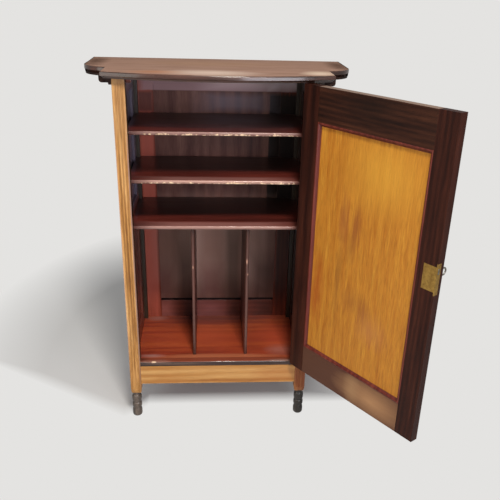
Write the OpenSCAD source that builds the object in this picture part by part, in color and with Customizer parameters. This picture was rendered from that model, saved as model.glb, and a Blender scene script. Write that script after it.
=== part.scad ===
// Sheet music cabinet: fluted corner posts on turned feet, framed sides and back,
// three shelves over three upright slots, a shaped moulded top and one panelled
// door with a lock. The door is drawn standing open. Millimetres throughout.
// X runs to the right, Y to the back, Z up. The origin is on the floor under the
// middle of the front left foot.

/* [Carcass] */
// Width over the corner posts
body_w = 540; // [440:5:640]
// Depth from the front of the posts to the back of the posts
body_d = 320; // [260:5:420]
// Height from the floor to the underside of the top
body_h = 1027; // [900:5:1200]
// Side of a square corner post
post_w = 33; // [28:1:44]
// Number of flutes down the front of a post
flute_n = 3; // [1:1:4]
// Width of the round cutter that makes a flute
flute_d = 5.5; // [4:0.5:7]
// Depth of a flute
flute_depth = 1.8; // [1:0.2:2.4]
// Distance from one flute to the next
flute_pitch = 8; // [6:0.2:9]
// Thickness of the framed sides
side_t = 20; // [14:1:26]
// Set-back of the framed sides from the outer face of the posts
side_setback = 2; // [1:0.5:4]
// Thickness of the framed back
back_t = 18; // [12:1:24]
// Width of the upright members of the side frames
side_stile_w = 42; // [30:1:60]
// Width of the rails of the side frames
side_rail_w = 58; // [40:1:80]
// Thickness of the loose panels in the sides and the back
panel_t = 7; // [5:0.5:10]
// Depth of the groove that holds a loose panel
groove_d = 7; // [4:0.5:9]
// Length of the tenons on the rails of the side and back frames
frame_tenon_l = 26; // [14:1:28]
// Height of the side frames' middle rail above the top of the lower shelf
mid_rail_up = 26; // [10:1:60]
// Width of the two uprights of the back frame
back_stile_w = 46; // [30:1:70]
// Height of the top rail of the back frame
back_top_rail_w = 72; // [50:1:100]
// Height of the bottom rail of the back frame above the floor of the cabinet
back_bottom_rail_w = 61; // [40:1:90]
// Radius of the quarter-round bead along the foot of the back panel
back_bead_r = 5.5; // [4:0.5:8]

/* [Legs and feet] */
// Height of a turned foot
foot_h = 88; // [50:1:120]
// Largest diameter of a turned foot
foot_d = 30; // [24:1:40]
// Width of a leg where it meets its foot
ankle_w = 28; // [22:1:30]
// Diameter of the peg that joins a foot to its leg
peg_d = 12; // [8:1:16]
// Length of that peg
peg_l = 20; // [12:1:30]
// Height of the plain neck at the top of a foot
neck_h = 14; // [8:1:20]
// Height of the upper ring of a foot
upper_ring_h = 29; // [16:1:34]
// Height of the middle ring of a foot
middle_ring_h = 16; // [8:1:20]
// Depth of the quirks between the rings
quirk_d = 2.6; // [1.5:0.1:4]

/* [Front rails and floor] */
// Height of the front apron above the floor
apron_z = 122; // [100:1:160]
// Height of the apron board
apron_h = 61; // [40:1:90]
// Thickness of the apron board
apron_t = 20; // [14:1:26]
// Length of the tenons that hold the apron in the posts
apron_tenon_l = 20; // [10:1:24]
// Thickness of those tenons
apron_tenon_t = 8; // [6:0.5:10]
// Thickness of the cabinet floor
floor_t = 17; // [12:1:22]
// Front to back width of the beaded sill in front of the floor
sill_w = 24; // [18:1:40]
// Diameter of the bead worked on the sill
sill_bead_d = 9; // [6:0.5:12]

/* [Shelves and slots] */
// Thickness of a shelf
shelf_t = 10; // [8:0.5:16]
// Top of the lower shelf above the cabinet floor
lower_shelf_up = 426; // [380:1:460]
// Height from one shelf top to the next
shelf_step = 132; // [100:1:150]
// Distance of the shelf edge behind the front of the posts
shelf_setback = 27; // [26:1:45]
// Depth of the flat round on the front edge of a shelf
shelf_nose = 1.5; // [0.5:0.25:3]
// Clear width of the left slot, from the side to its divider
left_slot_w = 170; // [120:1:190]
// Clear width of the middle slot, between the dividers
middle_slot_w = 149; // [110:1:170]
// Thickness of an upright divider
divider_t = 9; // [6:0.5:14]
// Distance of a divider behind the front of the posts
divider_setback = 42; // [30:1:80]
// Depth of the groove that holds a divider
divider_groove = 3; // [2:0.5:5]
// Height of a shelf cleat
cleat_h = 14; // [10:1:20]
// Thickness of a shelf cleat
cleat_t = 9; // [7:0.5:14]

/* [Top] */
// Thickness of the top board
top_t = 17; // [14:0.5:24]
// Overhang of the top past the posts at the sides
top_side_over = 26; // [12:1:40]
// Overhang of the top past the posts at its front corners
top_front_over = 9; // [4:1:30]
// How far the front edge bows out in the middle
top_bow = 47; // [10:1:60]
// How far the ears reach past the side of the top
ear_reach = 65; // [20:1:90]
// Distance of the ears behind the front of the posts
ear_setback = 83; // [40:1:140]
// Radius of the rounded front of an ear, at least its reach
ear_r = 80; // [60:1:110]
// Overhang of the top past the back of the posts
top_back_over = 5; // [0:1:20]
// Width of the moulded edge of the top
top_edge_w = 9; // [4:0.5:14]
// Size of the cove moulding under the top at the sides
cove = 20; // [10:1:24]
// Reach of the mould under an ear past the side of the posts
ear_mould_reach = 46; // [10:1:60]
// Height of the mould under an ear
ear_mould_h = 24; // [12:1:32]

/* [Door] */
// Thickness of the door frame
door_t = 22; // [18:0.5:25]
// Width of the two upright members of the door
door_stile_w = 55; // [40:1:80]
// Width of the top rail of the door
door_top_rail_w = 87; // [50:1:110]
// Width of the bottom rail of the door
door_bottom_rail_w = 85; // [50:1:110]
// Gap round the closed door
door_gap = 1.5; // [1.2:0.1:3]
// Extra gap under the door, so that it clears the sill when it drops
door_drop = 2; // [0:0.5:5]
// Thickness of the door panel
door_panel_t = 8; // [6:0.5:10]
// Length of the tenons on the rails of the door
door_tenon_l = 36; // [20:1:38]
// Width of the bead round the door panel
door_bead_w = 12; // [8:0.5:16]
// Angle at which the door stands open
door_open = 124.5; // [95:0.5:165]

/* [Hinges and lock] */
// Length of a butt hinge
hinge_l = 64; // [40:1:90]
// Diameter of a hinge barrel
barrel_d = 8; // [6.5:0.5:9]
// Diameter of a hinge pin
pin_d = 3.6; // [2.6:0.2:4.2]
// Radial clearance of a hinge pin in the barrels that turn on it
pin_play = 0.06; // [0.03:0.01:0.1]
// Thickness of a hinge leaf
leaf_t = 1.6; // [1.2:0.1:2]
// Distance of a hinge from the end of the door
hinge_inset = 95; // [60:1:160]
// Height of the lock case
lock_h = 62; // [50:1:80]
// Width of the lock case
lock_w = 38; // [32:1:50]
// Thickness of the lock case
lock_t = 13; // [11:0.5:14]
// How far the lock's face plate reaches past its case at each end
face_plate_over = 8; // [4:0.5:14]
// Throw of the lock bolt
bolt_throw = 7; // [5:0.5:8]
// Diameter of the key shank
key_d = 5; // [4:0.2:6]
// Length of the key that stands out of the door, without its bow
key_out = 28; // [18:1:40]
// Outer radius of the bow of the key
key_bow_r = 11; // [8:0.5:14]
// Diameter of the collar on the key
key_collar_d = 9; // [8:0.5:12]
// Height of the strike plate
strike_h = 40; // [30:1:60]
// Height of the escutcheon plate
escutcheon_h = 40; // [28:1:56]
// Height of the keyhole above the middle of the door
key_up = 40; // [-100:5:150]

/* [Hidden] */
$fn = 48;

// Clearances and the shoulder of a tenon, shared by every fit
seat_gap = 0.1;
tenon_shoulder = 10;
free_gap = 0.3;
eps = 0.01;

// Places worked out from the driving sizes
half_w = body_w / 2;
open_half = half_w - post_w;
wall_half = half_w - side_setback - side_t;
back_y = body_d - back_t;
floor_z = apron_z + apron_h + floor_t;
lower_shelf_z = floor_z + lower_shelf_up;
shelf_tops = [for (i = [0:2]) lower_shelf_z + i * shelf_step];
side_y0 = post_w;
side_y1 = body_d - post_w;
frame_bottom = apron_z;
mid_rail_top = lower_shelf_z + mid_rail_up;
divider_x0s = [-wall_half + left_slot_w, -wall_half + left_slot_w + divider_t + middle_slot_w];
apron_y = 1;
origin_shift = [half_w - post_w / 2, -post_w / 2, 0];

// Door, drawn closed in its own place and then swung about the hinge line
axis_x = open_half;
axis_y = -(barrel_d / 2 + 0.5);
door_x0 = -open_half + door_gap;
door_x1 = open_half - door_gap;
door_z0 = floor_z + door_gap + door_drop;
door_z1 = body_h - door_gap;
panel_y0 = (door_t - door_panel_t) / 2;
panel_x0 = door_x0 + door_stile_w;
panel_x1 = door_x1 - door_stile_w;
panel_z0 = door_z0 + door_bottom_rail_w;
panel_z1 = door_z1 - door_top_rail_w;
hinge_zs = [door_z0 + hinge_inset, door_z1 - hinge_inset - hinge_l];
knuckles = 5;
screw_head_d = 6.4;
screw_d = 3;
screw_l = 14;

// Lock, in the closed door
keyhole_share = 0.62;
keyhole_x = door_x0 + lock_w * keyhole_share;
keyhole_z = (door_z0 + door_z1) / 2 + key_up;
lock_y0 = door_t - lock_t;
lock_wall = 1.6;
bolt_h = 14;
bolt_t = 5;
bolt_y = lock_y0 + 4;
bolt_l = 20;
face_plate_t = 2;
bit_drop = 8.5;
bit_t = 2.4;
bit_reach = key_d / 2 + bit_drop;
bolt_z = keyhole_z + bit_reach + 1.2;

module on_floor() translate(origin_shift) children();
module on_side(side) mirror([side < 0 ? 1 : 0, 0, 0]) children();

module board(x0, x1, y0, y1, z0, z1)
    translate([x0, y0, z0]) cube([x1 - x0, y1 - y0, z1 - z0]);

module swung() translate([axis_x, axis_y, 0]) rotate([0, 0, door_open])
    translate([-axis_x, -axis_y, 0]) children();

// Corner posts

// Front or side view of a post: straight down to the apron, then tapered on one side
module post_profile() polygon([
    [0, body_h], [0, foot_h + 18], [(post_w - ankle_w) / 2, foot_h],
    [(post_w + ankle_w) / 2, foot_h], [post_w, foot_h + 18], [post_w, body_h]
]);

module post_blank() intersection() {
    translate([0, post_w, 0]) rotate([90, 0, 0])
        linear_extrude(post_w) post_profile();
    rotate([90, 0, 90]) linear_extrude(post_w) post_profile();
}

// Round flutes down the front face, with round ends short of the top and the foot
flute_z0 = foot_h + 16;
flute_z1 = body_h - 16;
module flutes() for (i = [0:flute_n - 1])
    translate([post_w / 2 + (i - (flute_n - 1) / 2) * flute_pitch, flute_depth - flute_d / 2, 0]) {
        translate([0, 0, flute_z0]) cylinder(h = flute_z1 - flute_z0, d = flute_d);
        translate([0, 0, flute_z0]) sphere(d = flute_d);
        translate([0, 0, flute_z1]) sphere(d = flute_d);
    }

module peg_hole() translate([post_w / 2, post_w / 2, foot_h - eps])
    cylinder(h = peg_l + 2, d = peg_d + 2 * seat_gap);

// Post at one corner: side -1 left or 1 right, row 0 front or 1 rear
module post(side, row) color("peru")
    on_side(side) translate([open_half, row * (body_d - post_w), 0])
        difference() {
            post_blank();
            peg_hole();
            if (row == 0) flutes();
        }

// Tenons of the apron, one at each end of a bar that runs right through it
module apron_tenons(play) board(
    -open_half - apron_tenon_l - play, open_half + apron_tenon_l + play,
    apron_y + (apron_t - apron_tenon_t) / 2 - play, apron_y + (apron_t + apron_tenon_t) / 2 + play,
    apron_z + tenon_shoulder - play, apron_z + apron_h - tenon_shoulder + play);

module front_left_post() difference() {
    post(-1, 0);
    strike_recess();
    apron_tenons(seat_gap);
}

module front_right_post() difference() {
    post(1, 0);
    post_leaf_recesses();
    apron_tenons(seat_gap);
    color("peru") screw_bodies(1);
}

module rear_left_post() post(-1, 1);
module rear_right_post() post(1, 1);

// Turned foot: a plain neck, two full rings with quirks below them and a rounded toe
toe_h = foot_h - neck_h - upper_ring_h - middle_ring_h;
toe_r = foot_d * 0.36;
quirk_r = foot_d / 2 - quirk_d;

// Section of a ring from z0 upwards, swelling from the quirk to the full diameter
function ring(z0, h) = [for (a = [0:18:180])
    [quirk_r + quirk_d * pow(sin(a), 0.6), z0 + h / 2 - (h / 2 - 0.7) * cos(a)]];

// Lower half of the toe is a quarter round on a flat pad
function toe(h) = concat(
    [for (a = [0:10:90]) [foot_d / 2 - toe_r * 0.5 * (1 - sin(a)), toe_r * 0.8 * (1 - cos(a))]],
    [for (a = [100:20:180]) [quirk_r + quirk_d * sin(a), h - 4.5 - 3.8 * cos(a)]]
);

foot_outline = concat(
    [[0, 0]], toe(toe_h), ring(toe_h, middle_ring_h), ring(toe_h + middle_ring_h, upper_ring_h),
    [[ankle_w / 2 - 2.5, foot_h - neck_h], [ankle_w / 2 - 1.5, foot_h],
     [peg_d / 2, foot_h], [peg_d / 2, foot_h + peg_l], [0, foot_h + peg_l]]
);

module foot(side, row) color("dimgray")
    on_side(side)
        translate([half_w - post_w / 2, row * (body_d - post_w) + post_w / 2, 0])
            rotate_extrude($fn = 40) polygon(foot_outline);

module front_left_foot() foot(-1, 0);
module front_right_foot() foot(1, 0);
module rear_left_foot() foot(-1, 1);
module rear_right_foot() foot(1, 1);

// Top board: one outline, drawn in by the moulding as it rises

// Points of an arc about a centre, from angle a0 to a1
function arc(cx, cy, r, a0, a1, n) =
    [for (i = [0:n]) [cx + r * cos(a0 + (a1 - a0) * i / n), cy + r * sin(a0 + (a1 - a0) * i / n)]];

top_half = half_w + top_side_over;
top_front = -top_front_over;
top_back = body_d + top_back_over;
ear_x = top_half + ear_reach;
bow_r = (top_half * top_half + top_bow * top_bow) / (2 * top_bow);
ear_round = max(ear_r, ear_reach);
ear_drop = sqrt(pow(ear_round, 2) - pow(ear_round - ear_reach, 2));
ear_mid = [ear_x - ear_round, ear_setback + ear_drop];

// Front of the right ear, inset by k, from the notch round to the side
function ear_front(k) = arc(ear_mid[0], ear_mid[1], ear_round - k,
    asin((top_half - k - ear_mid[0]) / (ear_round - k)) - 90, 0, 12);

// Right half of the outline, inset by k, from the front middle round to the back middle
function half_outline(k) = concat(
    arc(0, top_front - top_bow + bow_r, bow_r - k,
        -90, asin((top_half - k) / (bow_r - k)) - 90, 14),
    ear_front(k),
    [[ear_x - k, top_back - k]]
);

function outline(k) = let (h = half_outline(k), n = len(h)) concat(
    [for (i = [1:n - 1]) h[i]],
    [for (i = [n - 1:-1:1]) [-h[i][0], h[i][1]]],
    [h[0]]
);

// Moulding section: inset against height, a fillet, an ovolo and a rounded nosing
top_inset = top_edge_w * 0.45;
top_fillet = 1.5;
top_ovolo = 6;
top_nosing = 3.2;
top_section = concat(
    [[top_inset, 0]],
    [for (a = [0:22.5:90]) [top_inset * (1 - sin(a)), top_fillet + top_ovolo * (1 - cos(a))]],
    [for (a = [0:18:90]) [top_nosing * (1 - cos(a)), top_t + top_nosing * (sin(a) - 1)]]
);

module top_board() color("saddlebrown") translate([0, 0, body_h]) {
    rings = [for (s = top_section) [for (p = outline(s[0])) [p[0], p[1], s[1]]]];
    n = len(rings[0]);
    m = len(rings);
    points = [for (r = rings) each r];
    walls = [for (j = [0:m - 2], i = [0:n - 1]) each [
        [j * n + i, (j + 1) * n + i, (j + 1) * n + (i + 1) % n],
        [j * n + i, (j + 1) * n + (i + 1) % n, j * n + (i + 1) % n]
    ]];
    bottom = [[for (i = [0:n - 1]) i]];
    cap = [[for (i = [n - 1:-1:0]) (m - 1) * n + i]];
    polyhedron(points, concat(walls, bottom, cap), convexity = 6);
}

// Mould that fills the angle between a side and the top: a cove along the post, and
// a plate and a rounded board that carry the ear
cove_drop = cove * 0.8;
ear_plate_t = 6;
module side_cove(side) color("saddlebrown") on_side(side) {
    translate([half_w, body_d, body_h]) rotate([90, 0, 0])
        linear_extrude(body_d) difference() {
            translate([0, -cove_drop]) square([cove, cove_drop]);
            translate([cove + 1, -cove_drop - 1]) circle(r = cove_drop - 2);
        }
    translate([0, 0, body_h - ear_plate_t]) linear_extrude(ear_plate_t)
        polygon(concat(ear_front(3), [[ear_x - 3, body_d], [half_w, body_d],
                                      [half_w, ear_front(3)[0][1]]]));
    translate([half_w, body_d, body_h]) rotate([90, 0, 0])
        linear_extrude(body_d - ear_setback - 12) polygon(concat(
            [[0, 0], [0, -ear_mould_h]],
            arc(ear_mould_reach - 8, 8 - ear_mould_h, 8, -90, 0, 6),
            [[ear_mould_reach, 0]]));
}

module left_cove() side_cove(-1);
module right_cove() side_cove(1);

// Framed sides

side_x0 = wall_half;
side_x1 = half_w - side_setback;
panel_x = (side_x0 + side_x1) / 2;
upper_panel_z0 = mid_rail_top;
upper_panel_z1 = body_h - side_rail_w;
lower_panel_z0 = frame_bottom + side_rail_w + apron_h;
lower_panel_z1 = mid_rail_top - side_rail_w;
field_y0 = side_y0 + side_stile_w;
field_y1 = side_y1 - side_stile_w;

// A loose panel, larger than its opening by the groove all round
module panel_blank(x, y0, y1, z0, z1)
    board(x - panel_t / 2, x + panel_t / 2, y0 - groove_d, y1 + groove_d,
          z0 - groove_d, z1 + groove_d);

module side_grooves() {
    panel_blank(panel_x, field_y0, field_y1, lower_panel_z0, lower_panel_z1);
    panel_blank(panel_x, field_y0, field_y1, upper_panel_z0, upper_panel_z1);
}

// Lowest and highest edge of each rail of a side: bottom, middle, top
side_rails = [[frame_bottom, lower_panel_z0], [lower_panel_z1, upper_panel_z0], [upper_panel_z1, body_h]];

// Tenons of a rail, as thick as the groove, one at each end of a bar right through it
module side_tenons(rail, play) board(
    panel_x - panel_t / 2 - play, panel_x + panel_t / 2 + play,
    field_y0 - frame_tenon_l - play, field_y1 + frame_tenon_l + play,
    rail[0] + tenon_shoulder - play, rail[1] - tenon_shoulder + play);

module side_stiles(side) color("maroon") on_side(side) difference() {
    for (y = [side_y0, field_y1])
        board(side_x0, side_x1, y, y + side_stile_w, frame_bottom, body_h);
    side_grooves();
    for (rail = side_rails) side_tenons(rail, seat_gap);
}

module side_rail(side, rail) color("maroon") on_side(side) difference() {
    union() {
        board(side_x0, side_x1, field_y0, field_y1, rail[0], rail[1]);
        side_tenons(rail, 0);
    }
    side_grooves();
}

module side_panel(side, z0, z1) color("maroon") on_side(side)
    panel_blank(panel_x, field_y0, field_y1, z0, z1);

module left_side_stiles() side_stiles(-1);
module right_side_stiles() side_stiles(1);
module left_side_top_rail() side_rail(-1, side_rails[2]);
module right_side_top_rail() side_rail(1, side_rails[2]);
module left_side_middle_rail() side_rail(-1, side_rails[1]);
module right_side_middle_rail() side_rail(1, side_rails[1]);
module left_side_bottom_rail() side_rail(-1, side_rails[0]);
module right_side_bottom_rail() side_rail(1, side_rails[0]);
module left_upper_panel() side_panel(-1, upper_panel_z0, upper_panel_z1);
module right_upper_panel() side_panel(1, upper_panel_z0, upper_panel_z1);
module left_lower_panel() side_panel(-1, lower_panel_z0, lower_panel_z1);
module right_lower_panel() side_panel(1, lower_panel_z0, lower_panel_z1);

// Framed back, between the rear posts

back_x = open_half;
back_in = back_x - back_stile_w;
back_z0 = apron_z;
back_panel_z0 = floor_z + back_bottom_rail_w;
back_panel_z1 = body_h - back_top_rail_w;
back_panel_y = back_y + 6;

module back_groove()
    board(-back_in - groove_d, back_in + groove_d, back_panel_y, back_panel_y + panel_t,
          back_panel_z0 - groove_d, back_panel_z1 + groove_d);

back_rails = [[back_z0, back_panel_z0], [back_panel_z1, body_h]];

module back_tenons(rail, play) board(
    -back_in - frame_tenon_l - play, back_in + frame_tenon_l + play,
    back_panel_y - play, back_panel_y + panel_t + play,
    rail[0] + tenon_shoulder - play, rail[1] - tenon_shoulder + play);

module back_stiles() color("sienna") difference() {
    for (x = [-back_x, back_in]) board(x, x + back_stile_w, back_y, body_d, back_z0, body_h);
    back_groove();
    for (rail = back_rails) back_tenons(rail, seat_gap);
}

module back_rail(rail) color("sienna") difference() {
    union() {
        board(-back_in, back_in, back_y, body_d, rail[0], rail[1]);
        back_tenons(rail, 0);
    }
    back_groove();
}

module back_bottom_rail() back_rail(back_rails[0]);
module back_top_rail() back_rail(back_rails[1]);
module back_panel() color("saddlebrown") back_groove();

// Quarter-round bead in the corner of the panel and the bottom rail
module back_bead() color("sienna")
    translate([-back_in, back_panel_y, back_panel_z0]) rotate([90, 0, 90])
        linear_extrude(2 * back_in) intersection() {
            circle(r = back_bead_r);
            translate([-back_bead_r, 0]) square(back_bead_r);
        }

// Apron, sill and floor

module apron() color("goldenrod") union() {
    board(-open_half, open_half, apron_y, apron_y + apron_t, apron_z, apron_z + apron_h);
    apron_tenons(0);
}

// The sill closes the front of the floor with a bead between two flats
module sill() color("maroon")
    translate([-open_half, 0, 0]) rotate([90, 0, 90]) linear_extrude(2 * open_half)
        union() {
            translate([sill_bead_d / 2, apron_z + apron_h])
                square([sill_w - sill_bead_d / 2, floor_t]);
            translate([sill_bead_d / 2, floor_z - sill_bead_d / 2])
                circle(d = sill_bead_d);
            translate([3, apron_z + apron_h]) square([4, floor_t - sill_bead_d]);
        }

module divider_board(x, z0, z1) board(x, x + divider_t, divider_setback, back_y, z0, z1);
module divider_grooves(z0, z1) for (x = divider_x0s) divider_board(x, z0, z1);

// Notches that let a board pass the four posts
module post_notches(z0, z1) for (side = [-1, 1], y = [-eps, body_d - post_w])
    on_side(side) board(open_half, wall_half + 1, y, y + post_w + eps, z0 - 1, z1 + 1);

module floor_board() color("firebrick") difference() {
    board(-wall_half, wall_half, sill_w, back_y, floor_z - floor_t, floor_z);
    divider_grooves(floor_z - divider_groove, floor_z + 1);
    post_notches(floor_z - floor_t, floor_z);
}

// Shelves on cleats, over two upright dividers

module shelf(z) difference() {
    board(-wall_half, wall_half, shelf_setback + shelf_nose, back_y, z - shelf_t, z);
    post_notches(z - shelf_t, z);
}

// The front edge is worked to a flat round between the posts
module shelf_with_nosing(z) color("brown") union() {
    shelf(z);
    translate([-open_half, shelf_setback + shelf_nose, z - shelf_t / 2]) rotate([0, 90, 0])
        scale([1, 2 * shelf_nose / shelf_t, 1]) cylinder(h = 2 * open_half, d = shelf_t);
}

module lower_shelf() difference() {
    shelf_with_nosing(shelf_tops[0]);
    color("brown") divider_grooves(shelf_tops[0] - shelf_t - 1, shelf_tops[0] - shelf_t + divider_groove);
}

module middle_shelf() shelf_with_nosing(shelf_tops[1]);
module upper_shelf() shelf_with_nosing(shelf_tops[2]);

module cleats(side) color("maroon") for (z = shelf_tops) on_side(side)
    board(wall_half - cleat_t, wall_half, side_y0 + 8, side_y1, z - shelf_t - cleat_h, z - shelf_t);

module left_cleats() cleats(-1);
module right_cleats() cleats(1);

module divider(x) color("indianred")
    divider_board(x, floor_z - divider_groove, shelf_tops[0] - shelf_t + divider_groove);

module left_divider() divider(divider_x0s[0]);
module right_divider() divider(divider_x0s[1]);

// Small block under the top that the closed door meets
module door_stop() color("maroon")
    board(-open_half, -open_half + 14, door_t + 1, post_w, body_h - 14, body_h);

// Door frame

module door_board(x0, x1, z0, z1) board(x0, x1, 0, door_t, z0, z1);

module door_groove()
    board(panel_x0 - groove_d, panel_x1 + groove_d, panel_y0, panel_y0 + door_panel_t,
          panel_z0 - groove_d, panel_z1 + groove_d);

door_rails = [[door_z0, panel_z0], [panel_z1, door_z1]];

module door_tenons(rail, play) board(
    panel_x0 - door_tenon_l - play, panel_x1 + door_tenon_l + play,
    panel_y0 - play, panel_y0 + door_panel_t + play,
    rail[0] + tenon_shoulder - play, rail[1] - tenon_shoulder + play);

module door_mortises() for (rail = door_rails) door_tenons(rail, seat_gap);

module door_hinge_stile() color("saddlebrown") swung() difference() {
    door_board(panel_x1, door_x1, door_z0, door_z1);
    door_groove();
    door_mortises();
    door_leaf_recesses();
    screw_bodies(-1);
}

module door_lock_stile() color("saddlebrown") swung() difference() {
    door_board(door_x0, panel_x0, door_z0, door_z1);
    door_groove();
    door_mortises();
    lock_space();
    face_plate(1);
    keyhole();
}

module door_rail(rail) color("saddlebrown") swung() difference() {
    union() {
        door_board(panel_x0, panel_x1, rail[0], rail[1]);
        door_tenons(rail, 0);
    }
    door_groove();
}

module door_bottom_rail() door_rail(door_rails[0]);
module door_top_rail() door_rail(door_rails[1]);

module door_panel() color("goldenrod") swung() door_groove();

// Beads: mitred lengths with a hollowed section, on both faces of the panel

bead_depth = panel_y0;

// Section of a bead: x away from the frame, y out of the panel
module bead_section() difference() {
    polygon([[0, 0], [door_bead_w, 0], [door_bead_w, 1.5], [3.5, bead_depth], [0, bead_depth]]);
    translate([door_bead_w + 1, bead_depth + 2.2]) circle(r = door_bead_w * 0.62);
}

// A length of bead along X with 45 degree mitres, its frame edge at y 0
module mitred_length(len) intersection() {
    rotate([90, 0, 90]) linear_extrude(len) bead_section();
    translate([0, 0, -1]) linear_extrude(bead_depth + 2)
        polygon([[seat_gap, 0], [len - seat_gap, 0], [len - door_bead_w - 1 - seat_gap, door_bead_w + 1],
                 [door_bead_w + 1 + seat_gap, door_bead_w + 1]]);
}

panel_w = panel_x1 - panel_x0;
panel_h = panel_z1 - panel_z0;

// Laid on a panel face: the face looks along +Z before it is stood up
module bead_cross(top) translate([panel_x0, 0, top ? panel_z1 : panel_z0])
    rotate([90, 0, 0]) flipped(top) mitred_length(panel_w);
module flipped(flip) mirror([0, flip ? 1 : 0, 0]) children();

module bead_upright(right) translate([right ? panel_x1 : panel_x0, 0, panel_z0])
    rotate([90, 0, 0]) mirror([right ? 0 : 1, 0, 0]) rotate([0, 0, 90]) mitred_length(panel_h);

// Rear face of the panel is at panel_y0 + door_panel_t, the front face at panel_y0
module inner_face() translate([0, panel_y0 + door_panel_t, 0]) mirror([0, 1, 0]) children();
module outer_face() translate([0, panel_y0, 0]) children();

module door_bead_crosses() color("maroon") swung() inner_face() {
    bead_cross(false);
    bead_cross(true);
}

module door_bead_uprights() color("maroon") swung() inner_face() {
    bead_upright(false);
    bead_upright(true);
}

module door_outer_bead_crosses() color("maroon") swung() outer_face() {
    bead_cross(false);
    bead_cross(true);
}

module door_outer_bead_uprights() color("maroon") swung() outer_face() {
    bead_upright(false);
    bead_upright(true);
}

// Butt hinges: leaves let into the post and the door, barrels in front of both

knuckle_l = hinge_l / knuckles;
post_leaf_x = axis_x + 1.2 - leaf_t;
door_leaf_x = door_x1 - 1;
leaf_y1 = door_t - 3;
leaf_play = 0.15;

module leaf_plate(x, z) board(x, x + leaf_t, 0, leaf_y1, z, z + hinge_l);

// Knuckle number k of the hinge at height z, with the tongue that joins it to its leaf
module knuckle(k, x, z, bore) translate([0, 0, z + k * knuckle_l + leaf_play / 2]) difference() {
    union() {
        translate([axis_x, axis_y, 0]) cylinder(h = knuckle_l - leaf_play, d = barrel_d);
        translate([x, axis_y, 0]) cube([leaf_t, -axis_y + eps, knuckle_l - leaf_play]);
    }
    translate([axis_x, axis_y, -1]) cylinder(h = knuckle_l + 2, d = bore);
}

module hinge_leaf(x, first, bore, facing) for (z = hinge_zs) difference() {
    union() {
        leaf_plate(x, z);
        for (k = [first:2:knuckles - 1]) knuckle(k, x, z, bore);
    }
    screws_at(z, facing);
}

module post_leaf_recesses() for (z = hinge_zs)
    board(axis_x - 1, post_leaf_x + leaf_t, -1, leaf_y1, z, z + hinge_l);

module door_leaf_recesses() for (z = hinge_zs)
    board(door_leaf_x, door_x1 + 1, -1, leaf_y1, z, z + hinge_l);

module post_hinge_leaves() color("gold") hinge_leaf(post_leaf_x, 0, pin_d, 1);
module door_hinge_leaves() color("gold") swung()
    hinge_leaf(door_leaf_x, 1, pin_d + 2 * pin_play, -1);

module hinge_pins() color("gold") for (z = hinge_zs) translate([axis_x, axis_y, z]) {
    cylinder(h = hinge_l, d = pin_d);
    translate([0, 0, hinge_l]) cylinder(h = 2, d1 = barrel_d - 1, d2 = pin_d);
    translate([0, 0, -2]) cylinder(h = 2, d1 = pin_d, d2 = barrel_d - 1);
}

// Three countersunk screws through each leaf: facing 1 into the post, -1 into the door
module screws_at(z, facing) for (i = [-1:1])
    translate([facing > 0 ? post_leaf_x : door_leaf_x + leaf_t, leaf_y1 * (i == 0 ? 0.68 : 0.45),
               z + hinge_l / 2 + i * hinge_l * 0.36])
        rotate([0, facing > 0 ? 90 : -90, 0]) {
            cylinder(h = leaf_t, d1 = screw_head_d, d2 = screw_d);
            cylinder(h = screw_l, d = screw_d);
        }

module screw_bodies(facing) for (z = hinge_zs) screws_at(z, facing);

module post_hinge_screws() color("gold") screw_bodies(1);
module door_hinge_screws() color("gold") swung() screw_bodies(-1);

// Cut lock let into the free stile, with its bolt, strike and key

module lock_space()
    board(door_x0 - 1, door_x0 + lock_w, lock_y0, door_t + 1,
          keyhole_z - lock_h / 2, keyhole_z + lock_h / 2);

// Plate along the edge of the stile, longer than the case, through which the bolt comes out
module face_plate(past)
    board(door_x0 - past, door_x0 + face_plate_t, lock_y0, door_t + past,
          keyhole_z - lock_h / 2 - face_plate_over, keyhole_z + lock_h / 2 + face_plate_over);

module keyhole() translate([keyhole_x, -1, keyhole_z]) rotate([-90, 0, 0]) {
    cylinder(h = door_t, d = key_d + 2);
    translate([-bit_t / 2 - 0.5, 0, 0]) cube([bit_t + 1, bit_reach + 1, door_t]);
}

module bolt_room(grow)
    board(door_x0 - 1, door_x0 + bolt_l + grow, bolt_y - grow, bolt_y + bolt_t + grow,
          bolt_z - grow, bolt_z + bolt_h + grow);

module lock_case() color("goldenrod") swung() difference() {
    union() {
        board(door_x0, door_x0 + lock_w, lock_y0, door_t,
              keyhole_z - lock_h / 2, keyhole_z + lock_h / 2);
        face_plate(0);
    }
    bolt_room(free_gap);
    translate([keyhole_x, lock_y0 - 1, keyhole_z]) rotate([-90, 0, 0])
        cylinder(h = lock_t - lock_wall + 1, r = bit_reach + 0.6);
}

module lock_bolt() color("goldenrod") swung()
    board(door_x0, door_x0 + bolt_l, bolt_y, bolt_y + bolt_t, bolt_z, bolt_z + bolt_h);

// Strike plate let into the left post, with a mortise behind it for the bolt
strike_t = 1.2;
strike_z = bolt_z + bolt_h / 2;
module strike_outline() board(-open_half - strike_t, -open_half, lock_y0, post_w - 6,
                              strike_z - strike_h / 2, strike_z + strike_h / 2);
module bolt_mortise() board(-open_half - bolt_throw - 2, -open_half + 1, bolt_y - 1,
                            bolt_y + bolt_t + 1, bolt_z - 1, bolt_z + bolt_h + 1);

module strike_recess() {
    strike_outline();
    bolt_mortise();
}

module strike_plate() color("gold") difference() {
    strike_outline();
    bolt_mortise();
}

// Oval escutcheon plate on the outer face of the door
escutcheon_t = 1.5;
module key_escutcheon() color("gold") swung() difference() {
    translate([keyhole_x, 0, keyhole_z - 4]) rotate([90, 0, 0])
        scale([0.62, 1, 1]) cylinder(h = escutcheon_t, d = escutcheon_h);
    translate([0, -2, 0]) keyhole();
}

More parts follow.
